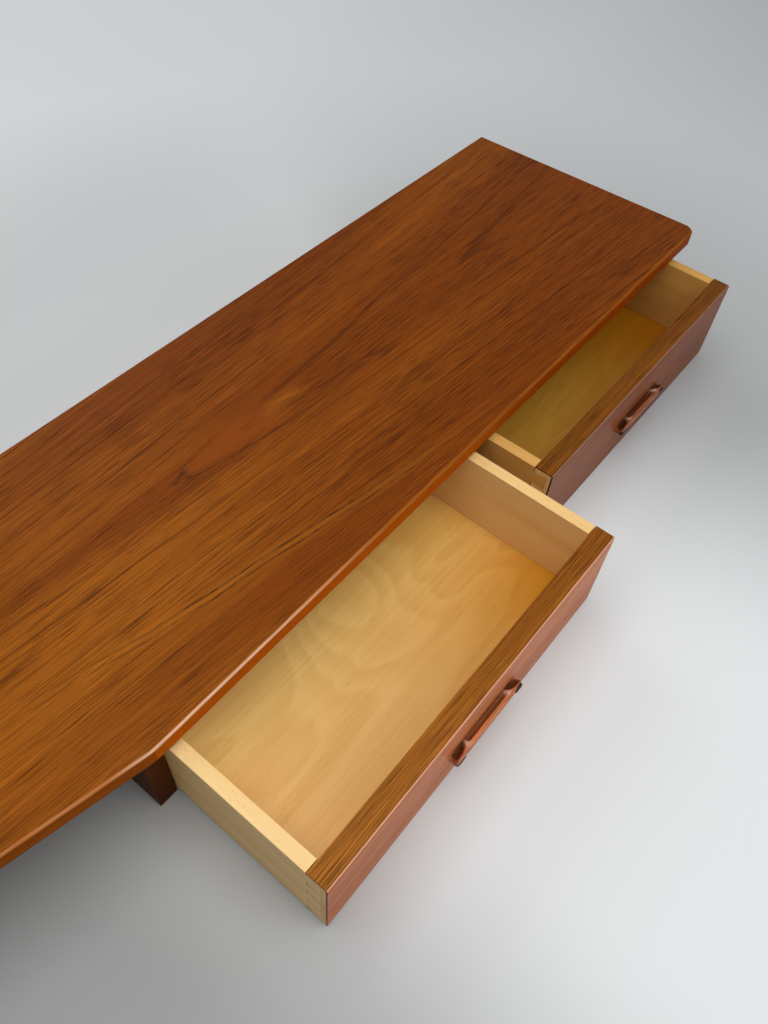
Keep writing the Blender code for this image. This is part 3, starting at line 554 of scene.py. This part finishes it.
# Along the upper arris a paler band: partly wear, partly a painted highlight, faint far from the bend.
rubbed_highlight = rise_and_fall(way_round, (0.0228, 0.0246), (0.0258, 0.0276), high=0.8)
lay_over(lipping_teak, all_of(rubbed_highlight, step_between(length_at, 2.45, 2.75, 0.25, 1.0)), RUBBED_HIGHLIGHT)
# Painted highlight, patchy, along the arris near the bend and faint on the wing.
worn_highlight = rise_and_fall(way_round, (0.0236, 0.0244), (0.0256, 0.0266))
worn_highlight = all_of(worn_highlight, step_between(patchy, 0.3, 0.6, 0.3, 1.0))
near_bend = rise_and_fall(length_at, (2.58, 2.8), (4.0, 4.04), after=0.15)
lay_over(lipping_teak, all_of(worn_highlight, near_bend), WORN_HIGHLIGHT)

tree = pull_teak.node_tree
# Painted shade: the right drawer's pull is darker.
lay_over(pull_teak, on_right_drawer(tree), (0.58, 0.5, 0.48, 1), "MULTIPLY")
# Painted shade in the pull's hollows and under its lip; painted highlight on its crests.
for mark, colour, mode in (("hollow_shade", (0.1, 0.07, 0.06, 1), "MULTIPLY"), ("rubbed_highlight", (0.9, 0.62, 0.48, 1), "MIX")):
    lay_over(pull_teak, place(tree, "Attribute", {}, attribute_name=mark).outputs["Fac"], colour, mode)
print("marks laid over the teak")

# %% [markdown]
# One mark gives the top its face: where the saw passed the trunk's heart, a smooth reddish tongue lies in the
# middle of the veneer, edged by one long dark line, with a golden flame past its end. A parabola draws it. The
# half-width grows as the square root of the distance from the tip, the line follows that edge, and a slow noise
# lets it wander. Two more lines of the same family, far wider, run near the front edge on a golden ribbon. The
# grain of the whole top draws together towards the left, by an exponential of the length.

# %% The heart tongue
TIP_ALONG, TIP_ACROSS, FAN_TIP = -0.066, -0.139, -0.434
TONGUE_SPREAD, FAN_SPREAD = 0.0045, 0.037
FLAME_PAST_TIP, RIBBON, FAN_LINES = 0.134, 0.003, (0.0, 0.006)
DARK_LINE, RED_HEART, FLAME = (0.045, 0.014, 0.005, 1), (0.25, 0.056, 0.005, 1), (0.4, 0.13, 0.009, 1)


def band(value, middle, full, none, share):
    """A share within a distance of a middle value, falling to nothing at another distance."""
    return step_between(sum_up("ABSOLUTE", less(value, middle)), full, none, share, 0.0)


def parabola(past, spread):
    """The half-width of a parabola at a distance past its tip: the root of the distance times a spread."""
    return sum_up("SQRT", sum_up("MULTIPLY", sum_up("MAXIMUM", past, 0.0), spread))


tree = top_teak.node_tree
spot = place(tree, "TexCoord", {}).outputs["Object"]
axes = join("SeparateXYZ", {0: spot}).outputs
fan_out = sum_up("EXPONENT", sum_up("MULTIPLY", axes["X"], -0.5))
off_tip = less(axes["Y"], TIP_ACROSS)
fanned = add_part(off_tip, fan_out, TIP_ACROSS)
fanned = join("CombineXYZ", {"X": axes["X"], "Y": fanned, "Z": axes["Z"]}).outputs[0]
tree.links.new(fanned, tree.nodes["grain"].inputs["Place"])

wander = swing(spot, (9.0, 9.0, 9.0))
broken = stretched_noise(spot, (60.0, 200.0, 200.0), shift=(2.0, 6.0, 1.0))
past_tip = less(axes["X"], TIP_ALONG)
off_line = add_part(wander, 0.012, off_tip)
closing = sum_up("MULTIPLY", sum_up("MAXIMUM", less(past_tip, 0.15), 0.0), 0.15)
width = less(parabola(past_tip, TONGUE_SPREAD), closing)
inside = less(width, sum_up("ABSOLUTE", off_line))
heart = all_of(step_between(inside, -0.001, 0.009, 0.0, 0.62), step_between(past_tip, 0.09, 0.16, 1.0, 0.0))
lay_over(top_teak, heart, RED_HEART)
flame = all_of(band(past_tip, FLAME_PAST_TIP, 0.006, 0.04, 0.4),
               band(off_line, 0.0, 0.002, 0.014, 1.0), step_between(broken, 0.35, 0.65, 0.3, 1.0))
lay_over(top_teak, flame, FLAME)

back_edge = step_between(past_tip, 0.0, 0.04, 0.7, 0.0)
front_edge = all_of(step_between(past_tip, 0.18, 0.34, 1.0, 0.0), step_between(off_line, -0.001, 0.001, 1.0, 0.0))
edge = all_of(band(inside, 0.0, 0.0002, 0.0013, 0.7), sum_up("MAXIMUM", back_edge, front_edge),
              step_between(past_tip, -0.012, 0.0), step_between(broken, 0.3, 0.6, 0.3, 1.0))
smudge = all_of(band(past_tip, 0.0, 0.003, 0.014, 0.75), band(off_line, 0.0, 0.002, 0.01, 1.0),
                step_between(broken, 0.42, 0.58))
lay_over(top_teak, sum_up("MAXIMUM", edge, smudge), DARK_LINE)

past_fan = less(axes["X"], FAN_TIP)
to_front = sum_up("MULTIPLY", off_line, -1.0)
before_fan = less(to_front, parabola(past_fan, FAN_SPREAD))
stretch = rise_and_fall(past_fan, (0.1, 0.3), (0.42, 0.7))
lay_over(top_teak, all_of(band(before_fan, RIBBON, 0.001, 0.01, 0.3), stretch), FLAME)
ragged = all_of(stretch, step_between(broken, 0.35, 0.65, 0.35, 1.0))
for offset in FAN_LINES:
    lay_over(top_teak, all_of(band(before_fan, offset, 0.0004, 0.0016, 0.8), ragged), DARK_LINE)
print("tongue from", TIP_ALONG, "m along the top")

# %% [markdown]
# The drawer boxes are a pale, close-grained wood under a thin clear lacquer: honey in the shade, nearly white
# on lit edges. Its marks are faint, broad bands, fine streaks and scattered flecks, so the group needs no rings.

# %% Pale drawer wood as a shared effect
PALE_INPUTS = [("Place", "Vector", None), ("Light", "Color", (0.86, 0.6, 0.3, 1)),
               ("Honey", "Color", (0.72, 0.42, 0.14, 1)), ("Fleck", "Color", (0.42, 0.2, 0.06, 1))]


def add_flecks(given, colour, scale, cut, share):
    """Scatters small flecks over a colour; gives the new colour and the flecks' mask."""
    fleck = step_between(stretched_noise(given["Place"], scale, detail=1.0), *cut)
    fleck = sum_up("MULTIPLY", fleck, share)
    return blend_colours(fleck, colour, given["Fleck"]), fleck


given, result = new_effect("pale_drawer_wood", PALE_INPUTS, OUTPUTS)
bands = stretched_noise(given["Place"], (2.0, 26.0, 26.0), detail=3.0)
streak = stretched_noise(given["Place"], (7.0, 420.0, 420.0), shift=(4.0, 2.0, 1.0))
honey = add_part(streak, 0.45, step_between(bands, 0.3, 0.75, -0.1, 0.6))
colour = blend_colours(honey, given["Light"], given["Honey"])
colour, fleck = add_flecks(given, colour, (160.0, 900.0, 900.0), (0.68, 0.76), 0.45)
relief = less(sum_up("MULTIPLY", streak, 0.4), fleck)
put_out(result, Color=colour, Roughness=add_part(honey, 0.1, 0.42), Height=relief)

# %% [markdown]
# The drawer bottoms are thin plywood. Its face is peeled from the log in one long curl, so the figure is not
# lines but wandering contours, like a map: the peel cuts each ring at a shallow angle. A distorted noise gives
# the hills, and its steps give the contour lines. Round a knot the hills swell, so the contours close about it.

# %% Peeled plywood face as a shared effect
FAR_OFF = (9.0, 9.0, 9.0)
given, result = new_effect("peeled_ply", PALE_INPUTS + [("Knot", "Vector", FAR_OFF)], OUTPUTS)
hills = stretched_noise(given["Place"], (2.6, 8.0, 8.0), distortion=0.9)
to_knot = join("VectorMath", {0: given["Place"], 1: given["Knot"]}, operation="DISTANCE").outputs["Value"]
hills = sum_up("ADD", hills, step_between(to_knot, 0.0, 0.11, 0.42, 0.0))
contour = sum_up("FRACT", sum_up("MULTIPLY", hills, 9.0))
ridge = rise_and_fall(contour, (0.0, 0.75), (0.8, 1.0))
streak = stretched_noise(given["Place"], (9.0, 300.0, 300.0), shift=(1.0, 2.0, 7.0))
cloud = step_between(stretched_noise(given["Place"], (3.0, 6.0, 6.0), shift=(8.0, 1.0, 3.0)), 0.35, 0.7)
streaky = step_between(streak, 0.3, 0.7, 0.02, 0.24)
honey = add_part(ridge, 0.27, add_part(cloud, 0.4, streaky))
colour = blend_colours(honey, given["Light"], given["Honey"])
colour, fleck = add_flecks(given, colour, (120.0, 700.0, 700.0), (0.7, 0.78), 0.35)
relief = less(sum_up("MULTIPLY", streak, 0.3), fleck)
put_out(result, Color=colour, Roughness=add_part(ridge, 0.08, 0.4), Height=relief)

# %% [markdown]
# The pale finishes place those two groups, and some get colours laid over as well. The pins at the sawn ends of
# the drawer fronts are darker than the tails beside them. The bottom ply is painted lighter at the back, a painted
# light under the top's edge. Towards the right of each drawer its lacquer is amber, partly an aged tint and partly
# a painted shade from the drawer's right side and front. The right drawer's woods are painted darker than the
# left's, a painted shade for the light falling off towards the right.

# %% Pale finishes
def pale(name, effect="pale_drawer_wood", turn=(0, 0, 0), shift=(0, 0, 0), **values):
    """A lacquered pale wood finish."""
    return new_finish(name, effect, values, specular=0.2, relief=0.00012, turn=turn, shift=shift)


side_wood = pale("drawer_side_wood", turn=(0, 0, QUARTER), Light=(0.88, 0.62, 0.29, 1), Honey=(0.74, 0.42, 0.12, 1))
front_core_wood = pale("front_core_wood", shift=(0.3, 0.1, 0.2))
lay_over(front_core_wood, sawn_ends(front_core_wood.node_tree), (0.93, 0.88, 0.8, 1), "MULTIPLY")
bottom_ply = pale("drawer_bottom_ply", "peeled_ply", Light=(0.8, 0.49, 0.165, 1), Honey=(0.64, 0.32, 0.063, 1),
                  Knot=(-0.009, -0.293, -0.032))
tree = bottom_ply.node_tree
# Painted light: the bottom ply is lighter at the back, under the top's edge.
lay_over(bottom_ply, step_between(along_axis(tree, "Y"), -0.36, -0.29), (1.25, 1.4, 1.45, 1), "MULTIPLY")
# Towards the right of each drawer, most at the front, the ply turns amber and darker: partly aged lacquer, partly a
# painted shade from the drawer's right side and front.
front_part = step_between(along_axis(tree, "Y"), -0.43, -0.33, 1.0, 0.3)
amber_and_shade = all_of(sum_up("MAXIMUM", front_part, on_right_drawer(tree)), step_between(across_drawer(tree), -0.05, 0.2))
lay_over(bottom_ply, amber_and_shade, (0.84, 0.6, 0.1, 1), "MULTIPLY")
# Painted shade: the right drawer's bottom and sides are darker, deeper in the top's shade and further from the lamp.
for finish, darker in ((bottom_ply, (0.68, 0.54, 0.22, 1)), (side_wood, (0.76, 0.62, 0.38, 1))):
    lay_over(finish, on_right_drawer(finish.node_tree), darker, "MULTIPLY")
back_ply = pale("case_back_ply", "peeled_ply", turn=(QUARTER, 0, 0), Light=(0.62, 0.4, 0.18, 1),
                Honey=(0.46, 0.26, 0.09, 1))
runner_wood = pale("runner_beech", turn=(0, 0, QUARTER), shift=(0.7, 0.0, 0.1), Light=(0.74, 0.48, 0.25, 1),
                   Honey=(0.6, 0.34, 0.14, 1))
print("pale finishes made")

# %% [markdown]
# Screws and hanger plates are plain hardware. Rolled steel has a faint brushed grain and dull patches, and
# brass tarnishes unevenly. Both are one group: a brushed noise for the roughness and a cloudy one for the tint.

# %% Hardware
METAL_INPUTS = [("Place", "Vector", None), ("Bright", "Color", (0.6, 0.6, 0.58, 1)),
                ("Dull", "Color", (0.3, 0.29, 0.27, 1))]
given, result = new_effect("worn_metal", METAL_INPUTS, OUTPUTS)
brushed = stretched_noise(given["Place"], (400.0, 4000.0, 400.0))
clouds = stretched_noise(given["Place"], (260.0, 260.0, 260.0), detail=3.0)
colour = blend_colours(step_between(clouds, 0.4, 0.7), given["Bright"], given["Dull"])
rough = add_part(brushed, 0.2, add_part(clouds, 0.2, 0.18))
put_out(result, Color=colour, Roughness=rough, Height=brushed)


def metal(name, **values):
    """A metal finish with worn patches."""
    made = new_finish(name, "worn_metal", values, specular=0.5, relief=0.00002)
    made.node_tree.nodes["Principled BSDF"].inputs["Metallic"].default_value = 1.0
    return made


hanger_steel = metal("hanger_steel")
screw_steel = metal("screw_steel", Bright=(0.5, 0.5, 0.49, 1), Dull=(0.2, 0.19, 0.18, 1))
screw_brass = metal("screw_brass", Bright=(0.7, 0.5, 0.2, 1), Dull=(0.32, 0.2, 0.07, 1))
print("hardware finishes made")

# %% [markdown]
# Now the top. Seen from above it is a long board, straight at the wall, whose front edge turns back along the
# left wing. Its outline is worked out once: straight runs joined by arcs that touch both edges of each corner.
# Each point also gets the direction that leads straight out of the board there, so a profile can be carried
# along the line.

# %% The outline of the top
TOP_FACE, UNDERSIDE = 71.5, 53.5
HALF_TOP, TOP_DEPTH, WING_DEPTH, END_CANT, BEND = 600.0, 310.0, 240.0, 10.5, -248.0
WING_END = -HALF_TOP - END_CANT * WING_DEPTH / TOP_DEPTH
CORNERS = np.array([(HALF_TOP, 0.0), (HALF_TOP + END_CANT, -TOP_DEPTH), (BEND, -TOP_DEPTH), (WING_END, -WING_DEPTH),
                    (-HALF_TOP, 0.0)])
CORNER_RADII = (13.0, 70.0, 13.0)
ARC_STEPS = 32


def rounded_corner(before, corner, after, radius):
    """Arc of one radius touching both edges of a corner: its centre lies on the bisector, and the points are the
    first touching point turned about the centre in equal steps. The way out is the direction from the centre."""
    inward = (before - corner) / np.linalg.norm(before - corner)
    onward = (after - corner) / np.linalg.norm(after - corner)
    half = np.arccos(np.dot(inward, onward)) / 2
    bisector = (inward + onward) / np.linalg.norm(inward + onward)
    centre = corner + bisector * radius / np.sin(half)
    start = corner + inward * radius / np.tan(half) - centre
    end = corner + onward * radius / np.tan(half) - centre
    sweep = np.arctan2(start[0] * end[1] - start[1] * end[0], np.dot(start, end))
    turn = np.linspace(0, sweep, ARC_STEPS + 1)[:, None]
    spoke = np.cos(turn) * start + np.sin(turn) * np.array([-start[1], start[0]])
    return centre + spoke, spoke / radius


def wall_end(end, corner):
    """A point where the outline meets the wall; its way out is along the wall, so an inset stays on the wall."""
    run = (corner - end) / np.linalg.norm(corner - end)
    return end[None], np.array([[np.sign(end[0]) / abs(run[1]), 0.0]])


arcs = [wall_end(CORNERS[0], CORNERS[1])]
arcs += [rounded_corner(CORNERS[k], CORNERS[k + 1], CORNERS[k + 2], CORNER_RADII[k]) for k in range(3)]
arcs += [wall_end(CORNERS[4], CORNERS[3])]
outline = np.concatenate([arc[0] for arc in arcs])
way_out = np.concatenate([arc[1] for arc in arcs])
girth = np.linalg.norm(np.diff(outline, axis=0), axis=1).sum()
print(f"outline of the top: {len(outline)} points, {girth:.0f} mm from wall to wall")

# %% [markdown]
# The board is a core with a veneer laid over it, and the veneer also covers the lippings up to where their
# edge begins to round. The surface is a profile carried along the outline: from a spine in the middle of the
# face out to the veneer's edge, down its thickness, back to the core, down to the underside and in again.

# %% The veneered board
LIPPING, ARRIS, LOWER_ARRIS, VENEER = 8.0, 3.0, 1.8, 0.6
SPINE_END, SPINE_LINE = 470.0, -120.0
BOARD_CREASE = 30


def carry_profile(line, out, profile):
    """Each outline point moved inwards by each inset of the profile, at the profile's height."""
    inset, height = np.asarray(profile).T
    flat = line[:, None, :] - out[:, None, :] * inset[None, :, None]
    rise = np.broadcast_to(height[None, :, None], flat.shape[:2] + (1,))
    return np.concatenate([flat, rise], axis=-1)


def veneered_board():
    """Rows along the outline and columns along the profile; the first and last column lie on the spine, which is
    each outline point drawn to the board's long middle line."""
    profile = [(ARRIS, TOP_FACE), (ARRIS, TOP_FACE - VENEER), (LIPPING, TOP_FACE - VENEER), (LIPPING, UNDERSIDE)]
    rim = carry_profile(outline, way_out, profile)
    spine = np.stack([np.clip(outline[:, 0], -SPINE_END, SPINE_END), np.full(len(outline), SPINE_LINE)], axis=-1)
    upper = np.concatenate([spine, np.full((len(spine), 1), TOP_FACE)], axis=-1)[:, None]
    lower = np.concatenate([spine, np.full((len(spine), 1), UNDERSIDE)], axis=-1)[:, None]
    return np.concatenate([upper, rim, lower], axis=1)


grid = veneered_board()
rows, columns = grid.shape[:2]
quads = grid_faces(rows + 1, columns, False) % (rows * columns)
board = make_piece("veneered_board", grid.reshape(-1, 3) * MM, quads, [], "case", top_teak, BOARD_CREASE)
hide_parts("top_board")

# %% [markdown]
# A lipping is a strip of solid teak glued to the board's edge and rounded over by hand: a generous arris above,
# a smaller one below. Each strip carries one profile along its own stretch of the outline and meets the next
# on the middle of the corner. The UV map stores the length along the strip and the way round its profile, in
# metres, so that the grain follows the strip round the bend, which Object coordinates couldn't do. Each strip's
# length starts at a number of its own, so a mask can tell the strips apart.

# %% The lippings
STRIP_SPACING = 2000.0


def quarter_round(centre, radius, start, steps=8):
    """Points on a quarter circle from a starting angle, as (inset, height)."""
    angle = np.radians(start) - np.linspace(0, np.pi / 2, steps + 1)
    return np.stack([centre[0] + radius * np.cos(angle), centre[1] + radius * np.sin(angle)], axis=-1)


def lipping_profile():
    """Inset and height round the strip: the rebate under the veneer, the upper arris, the edge, the lower arris."""
    rebate = [(LIPPING, UNDERSIDE), (LIPPING, TOP_FACE - VENEER), (ARRIS, TOP_FACE - VENEER)]
    upper = quarter_round((ARRIS, TOP_FACE - ARRIS), ARRIS, 90)
    lower = quarter_round((LOWER_ARRIS, UNDERSIDE + LOWER_ARRIS), LOWER_ARRIS, 180)
    upper[:, 0] = 2 * ARRIS - upper[:, 0]
    return np.concatenate([rebate, upper, lower])


def run_length(line):
    """The length along a line up to each point: the running sum of the distances between neighbours."""
    return np.concatenate([[0], np.cumsum(np.linalg.norm(np.diff(line, axis=0), axis=1))])


def lay_lengthwise(piece, along, around):
    """Writes a UV map of (length along, way round) for each grid point, in metres."""
    mesh = piece.data
    corner = np.zeros(len(mesh.loops), dtype=np.int64)
    mesh.loops.foreach_get("vertex_index", corner)
    chart = np.stack([np.repeat(along, len(around)), np.tile(around, len(along))], axis=-1)
    mesh.uv_layers.new(name="along_the_grain").data.foreach_set("uv", chart[corner].astype(np.float32).ravel())


profile = lipping_profile()
for k, name in enumerate(("right", "front", "wing", "left")):
    middle, after = len(arcs[k][0]) // 2, len(arcs[k + 1][0]) // 2 + 1
    line = np.concatenate([arcs[k][0][middle:], arcs[k + 1][0][:after]])
    out = np.concatenate([arcs[k][1][middle:], arcs[k + 1][1][:after]])
    strip = make_bar(name + "_edge_strip", carry_profile(line, out, profile), "case", lipping_teak, BOARD_CREASE)
    lay_lengthwise(strip, (run_length(line) + STRIP_SPACING * k) * MM, run_length(profile) * MM)
    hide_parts(name + "_lipping")

# %% [markdown]
# The pulls are the carver's work. Each starts as a block with rounded edges. A trough is cut behind its lip for
# the fingertips, a scoop at each end, and a cove below the lip. The lip is drawn back towards its ends, and the
# edges between the cuts are eased. Booleans would leave hard, broken edges. Instead the block and the cuts are
# written as distances, joined with a smooth maximum that rounds their meeting lines, and the surface is found
# along rays from the pull's core.

# %% The carved pulls
PULL_LENGTH, PULL_REACH, PULL_LOW, PULL_HIGH = 95.0, 9.2, -5.75, 6.25
HALF = PULL_LENGTH / 2
BLOCK_BACK, BLOCK_EASE = -6.0, 2.3
TROUGH_OUT, TROUGH_EASE, TROUGH_FLOOR, TROUGH_CLIMB, TROUGH_HALF = 4.4, 2.5, 0.25, 5.5, 29.5
COVE_OUT, COVE_Z, COVE_RADIUS, COVE_HALF, COVE_RUN_OUT = 10.957, -6.526, 7.0, 33.0, 1.3
SCOOP_SIZE = (19.0, 6.8, 6.2)
LIP_HALF, LIP_RAMP, LIP_Z, RIGHT_DRAW, LEFT_DRAW = 29.0, 15.0, -0.4, 2.4, 0.7
CORE_OUT, CORE_Z, LONGEST_RAY = 4.5, -0.4, 14.0
SEAT = 0.3


def smooth_max(a, b, ease):
    """The larger of two distances, with the crease between them rounded over a width of ease."""
    share = np.clip(0.5 + 0.5 * (a - b) / ease, 0, 1)
    return b + (a - b) * share + ease * share * (1 - share)


def outside_box(past):
    """Distance to a box from how far a point lies past each pair of its faces: the length of the parts that are
    outside, or the largest part where all are inside."""
    return np.linalg.norm(np.maximum(past, 0), axis=-1) + np.minimum(past.max(-1), 0)


def block_distance(x, out, z):
    """Distance to the block with rounded edges; it runs on behind the drawer's face, so its back stays square."""
    low, high = np.array([-HALF, BLOCK_BACK, PULL_LOW]), np.array([HALF, PULL_REACH, PULL_HIGH])
    middle, half = (low + high) / 2, (high - low) / 2 - BLOCK_EASE
    return outside_box(np.abs(np.stack([x, out, z], axis=-1) - middle) - half) - BLOCK_EASE


def trough_distance(x, out, z):
    """Distance to the trough: a channel behind the lip with a rounded floor, which climbs as the sixth power of
    the way from the middle and so ends in a crest."""
    floor = TROUGH_FLOOR + TROUGH_CLIMB * (np.abs(x) / TROUGH_HALF) ** 6
    return outside_box(np.stack([out - TROUGH_OUT + TROUGH_EASE, floor - z + TROUGH_EASE], axis=-1)) - TROUGH_EASE


def cove_distance(x, out, z):
    """Distance to the cove: a gouge with a radius round a line, whose ends run out short of the pull's ends."""
    beyond = np.maximum(np.abs(x) - COVE_HALF, 0) * COVE_RUN_OUT
    return np.sqrt(beyond ** 2 + (out - COVE_OUT) ** 2 + (z - COVE_Z) ** 2) - COVE_RADIUS


def scoop_distance(x, out, z):
    """Rough distance to the end scoops: ellipsoids at both upper back corners, scaled from a unit ball."""
    long, deep, high = SCOOP_SIZE
    ball = np.stack([(np.abs(x) - HALF) / long, out / deep, (z - PULL_HIGH) / high], axis=-1)
    return (np.linalg.norm(ball, axis=-1) - 1) * deep


def lip_edge(x):
    """How far the lip reaches: fully in the middle, drawn back by a cosine ramp at the ends, most at the right."""
    ramp = 0.5 - 0.5 * np.cos(np.pi * np.clip((np.abs(x) - LIP_HALF) / LIP_RAMP, 0, 1))
    return PULL_REACH - ramp * np.where(x > 0, RIGHT_DRAW, LEFT_DRAW)


def pull_distance(x, out, z):
    """Distance to the carved pull: the block less its cuts; the last one draws back the lip above the cove."""
    carved = smooth_max(block_distance(x, out, z), -trough_distance(x, out, z), 1.6)
    carved = smooth_max(carved, -cove_distance(x, out, z), 0.7)
    carved = smooth_max(carved, -scoop_distance(x, out, z), 1.6)
    return smooth_max(carved, -np.maximum(lip_edge(x) - out, LIP_Z - z), 0.8)


def carved_pull(stations=300, rays=120):
    """Rows along the length, rays round a core line; each ray's length is found by halving the span in which the
    distance changes sign, for all rays at once. The back is then pressed flat against the drawer's face."""
    t = np.linspace(-1, 1, stations)
    x = HALF * np.sin(t * np.pi / 2) * 0.35 + HALF * t * 0.65
    angle = np.linspace(0, 2 * np.pi, rays, endpoint=False)
    x, angle = np.meshgrid(x, angle, indexing="ij")
    short, long = np.zeros_like(x), np.full_like(x, LONGEST_RAY)
    for _ in range(40):
        middle = (short + long) / 2
        outside = pull_distance(x, CORE_OUT + middle * np.cos(angle), CORE_Z + middle * np.sin(angle)) > 0
        long, short = np.where(outside, middle, long), np.where(outside, short, middle)
    out = np.maximum(CORE_OUT + long * np.cos(angle), 0.0)
    return np.stack([x, out, CORE_Z + long * np.sin(angle)], axis=-1)


shape = carved_pull()
x, out, z = np.moveaxis(shape, -1, 0)
# Marks carried by the pull's mesh: a painted shade where it is carved in and below the lip, and a painted highlight on
# the crest near each end.
shade_below_lip = np.clip((0.6 - z) / 0.8, 0, 1) * np.clip((out - 4.5) / 2.0, 0, 1)
carved_in_shade = np.clip(-block_distance(x, out, z) / 3.0, 0, 1) * (out < 6.5) * np.where(np.abs(x) > 30, 0.85, 0.5)
crest = np.exp(-((np.abs(x) - 29.0) / 3.0) ** 2 - ((out - 4.0) / 2.2) ** 2) * np.clip((z - 2.5) / 1.5, 0, 1)
marks = {"hollow_shade": np.maximum(carved_in_shade, shade_below_lip), "rubbed_highlight": 0.9 * crest}
for drawer in ("left_drawer", "right_drawer"):
    low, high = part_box(drawer + "_pull")
    centre, face = (low.x + high.x) / 2 / MM, high.y / MM
    placed = np.stack([x + centre, face + SEAT - out * (PULL_REACH + SEAT) / PULL_REACH, z], axis=-1)
    pull = make_bar(drawer + "_carved_pull", placed, drawer, pull_teak, 50)
    for mark, share in marks.items():
        pull.data.attributes.new(mark, "FLOAT", "POINT").data.foreach_set("value", share.astype(np.float32).ravel())
    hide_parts(drawer + "_pull")

# %% [markdown]
# The other solids keep their shapes. Each one takes the finish of what it is made of, and edges that a hand
# would have eased get a very small bevel. A solid arrives as loose triangles, so its points are welded first.

# %% Finishes for the other solids
FINISHES = {"_face_veneer": face_teak, "_top_strip": strip_teak, "_front": front_core_wood, "_bottom": bottom_ply,
            "_runner": runner_wood, "_hanger": hanger_steel, "_lipping": lipping_teak, "_pull": pull_teak}
EASED = {"_face_veneer": 0.5, "_top_strip": 0.3, "_left_side": 0.4, "_right_side": 0.4, "_front": 0.3, "_back": 0.4,
         "_bottom": 0.3, "left_side": 0.6, "right_side": 0.6, "divider": 0.6, "_runner": 0.4, "_hanger": 0.2}


def soften(solid, width):
    """A weld and a small bevel on edges sharper than 50 degrees."""
    weld = solid.modifiers.new("weld", "WELD")
    weld.merge_threshold = 0.00001
    bevel = solid.modifiers.new("eased_edges", "BEVEL")
    bevel.width = width * MM
    bevel.segments = 2
    bevel.limit_method = "ANGLE"
    bevel.angle_limit = math.radians(50)


def finish_of(name):
    """The finish of a solid, read from its name."""
    if "dowel" in name:
        return runner_wood
    if "screw" in name:
        return screw_brass if "pull" in name else screw_steel
    for ending, finish in FINISHES.items():
        if name.endswith(ending):
            return finish
    if "drawer" in name:
        return front_core_wood if name.endswith("_back") else side_wood
    return {"top_board": top_teak, "back_board": back_ply}.get(name, panel_teak)


for name, solid in nodes.items():
    solid.data.materials.clear()
    solid.data.materials.append(finish_of(name))
    widths = [width for ending, width in EASED.items() if name.endswith(ending)]
    if widths and "screw" not in name and "dowel" not in name:
        soften(solid, widths[0])
print("finishes given to", len(nodes), "solids")

# %% [markdown]
# Last, the box of the dressed table is compared with that of the imported solids, and the largest change of a
# corner is printed. The finishes are meant to leave the size as it is, so the two boxes should agree to a
# fraction of a millimetre.

# %% Compare the boxes and finish
low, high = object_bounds()
print("largest change of a corner:", max(abs(a - b) for a, b in zip([*cad_low, *cad_high], [*low, *high])))
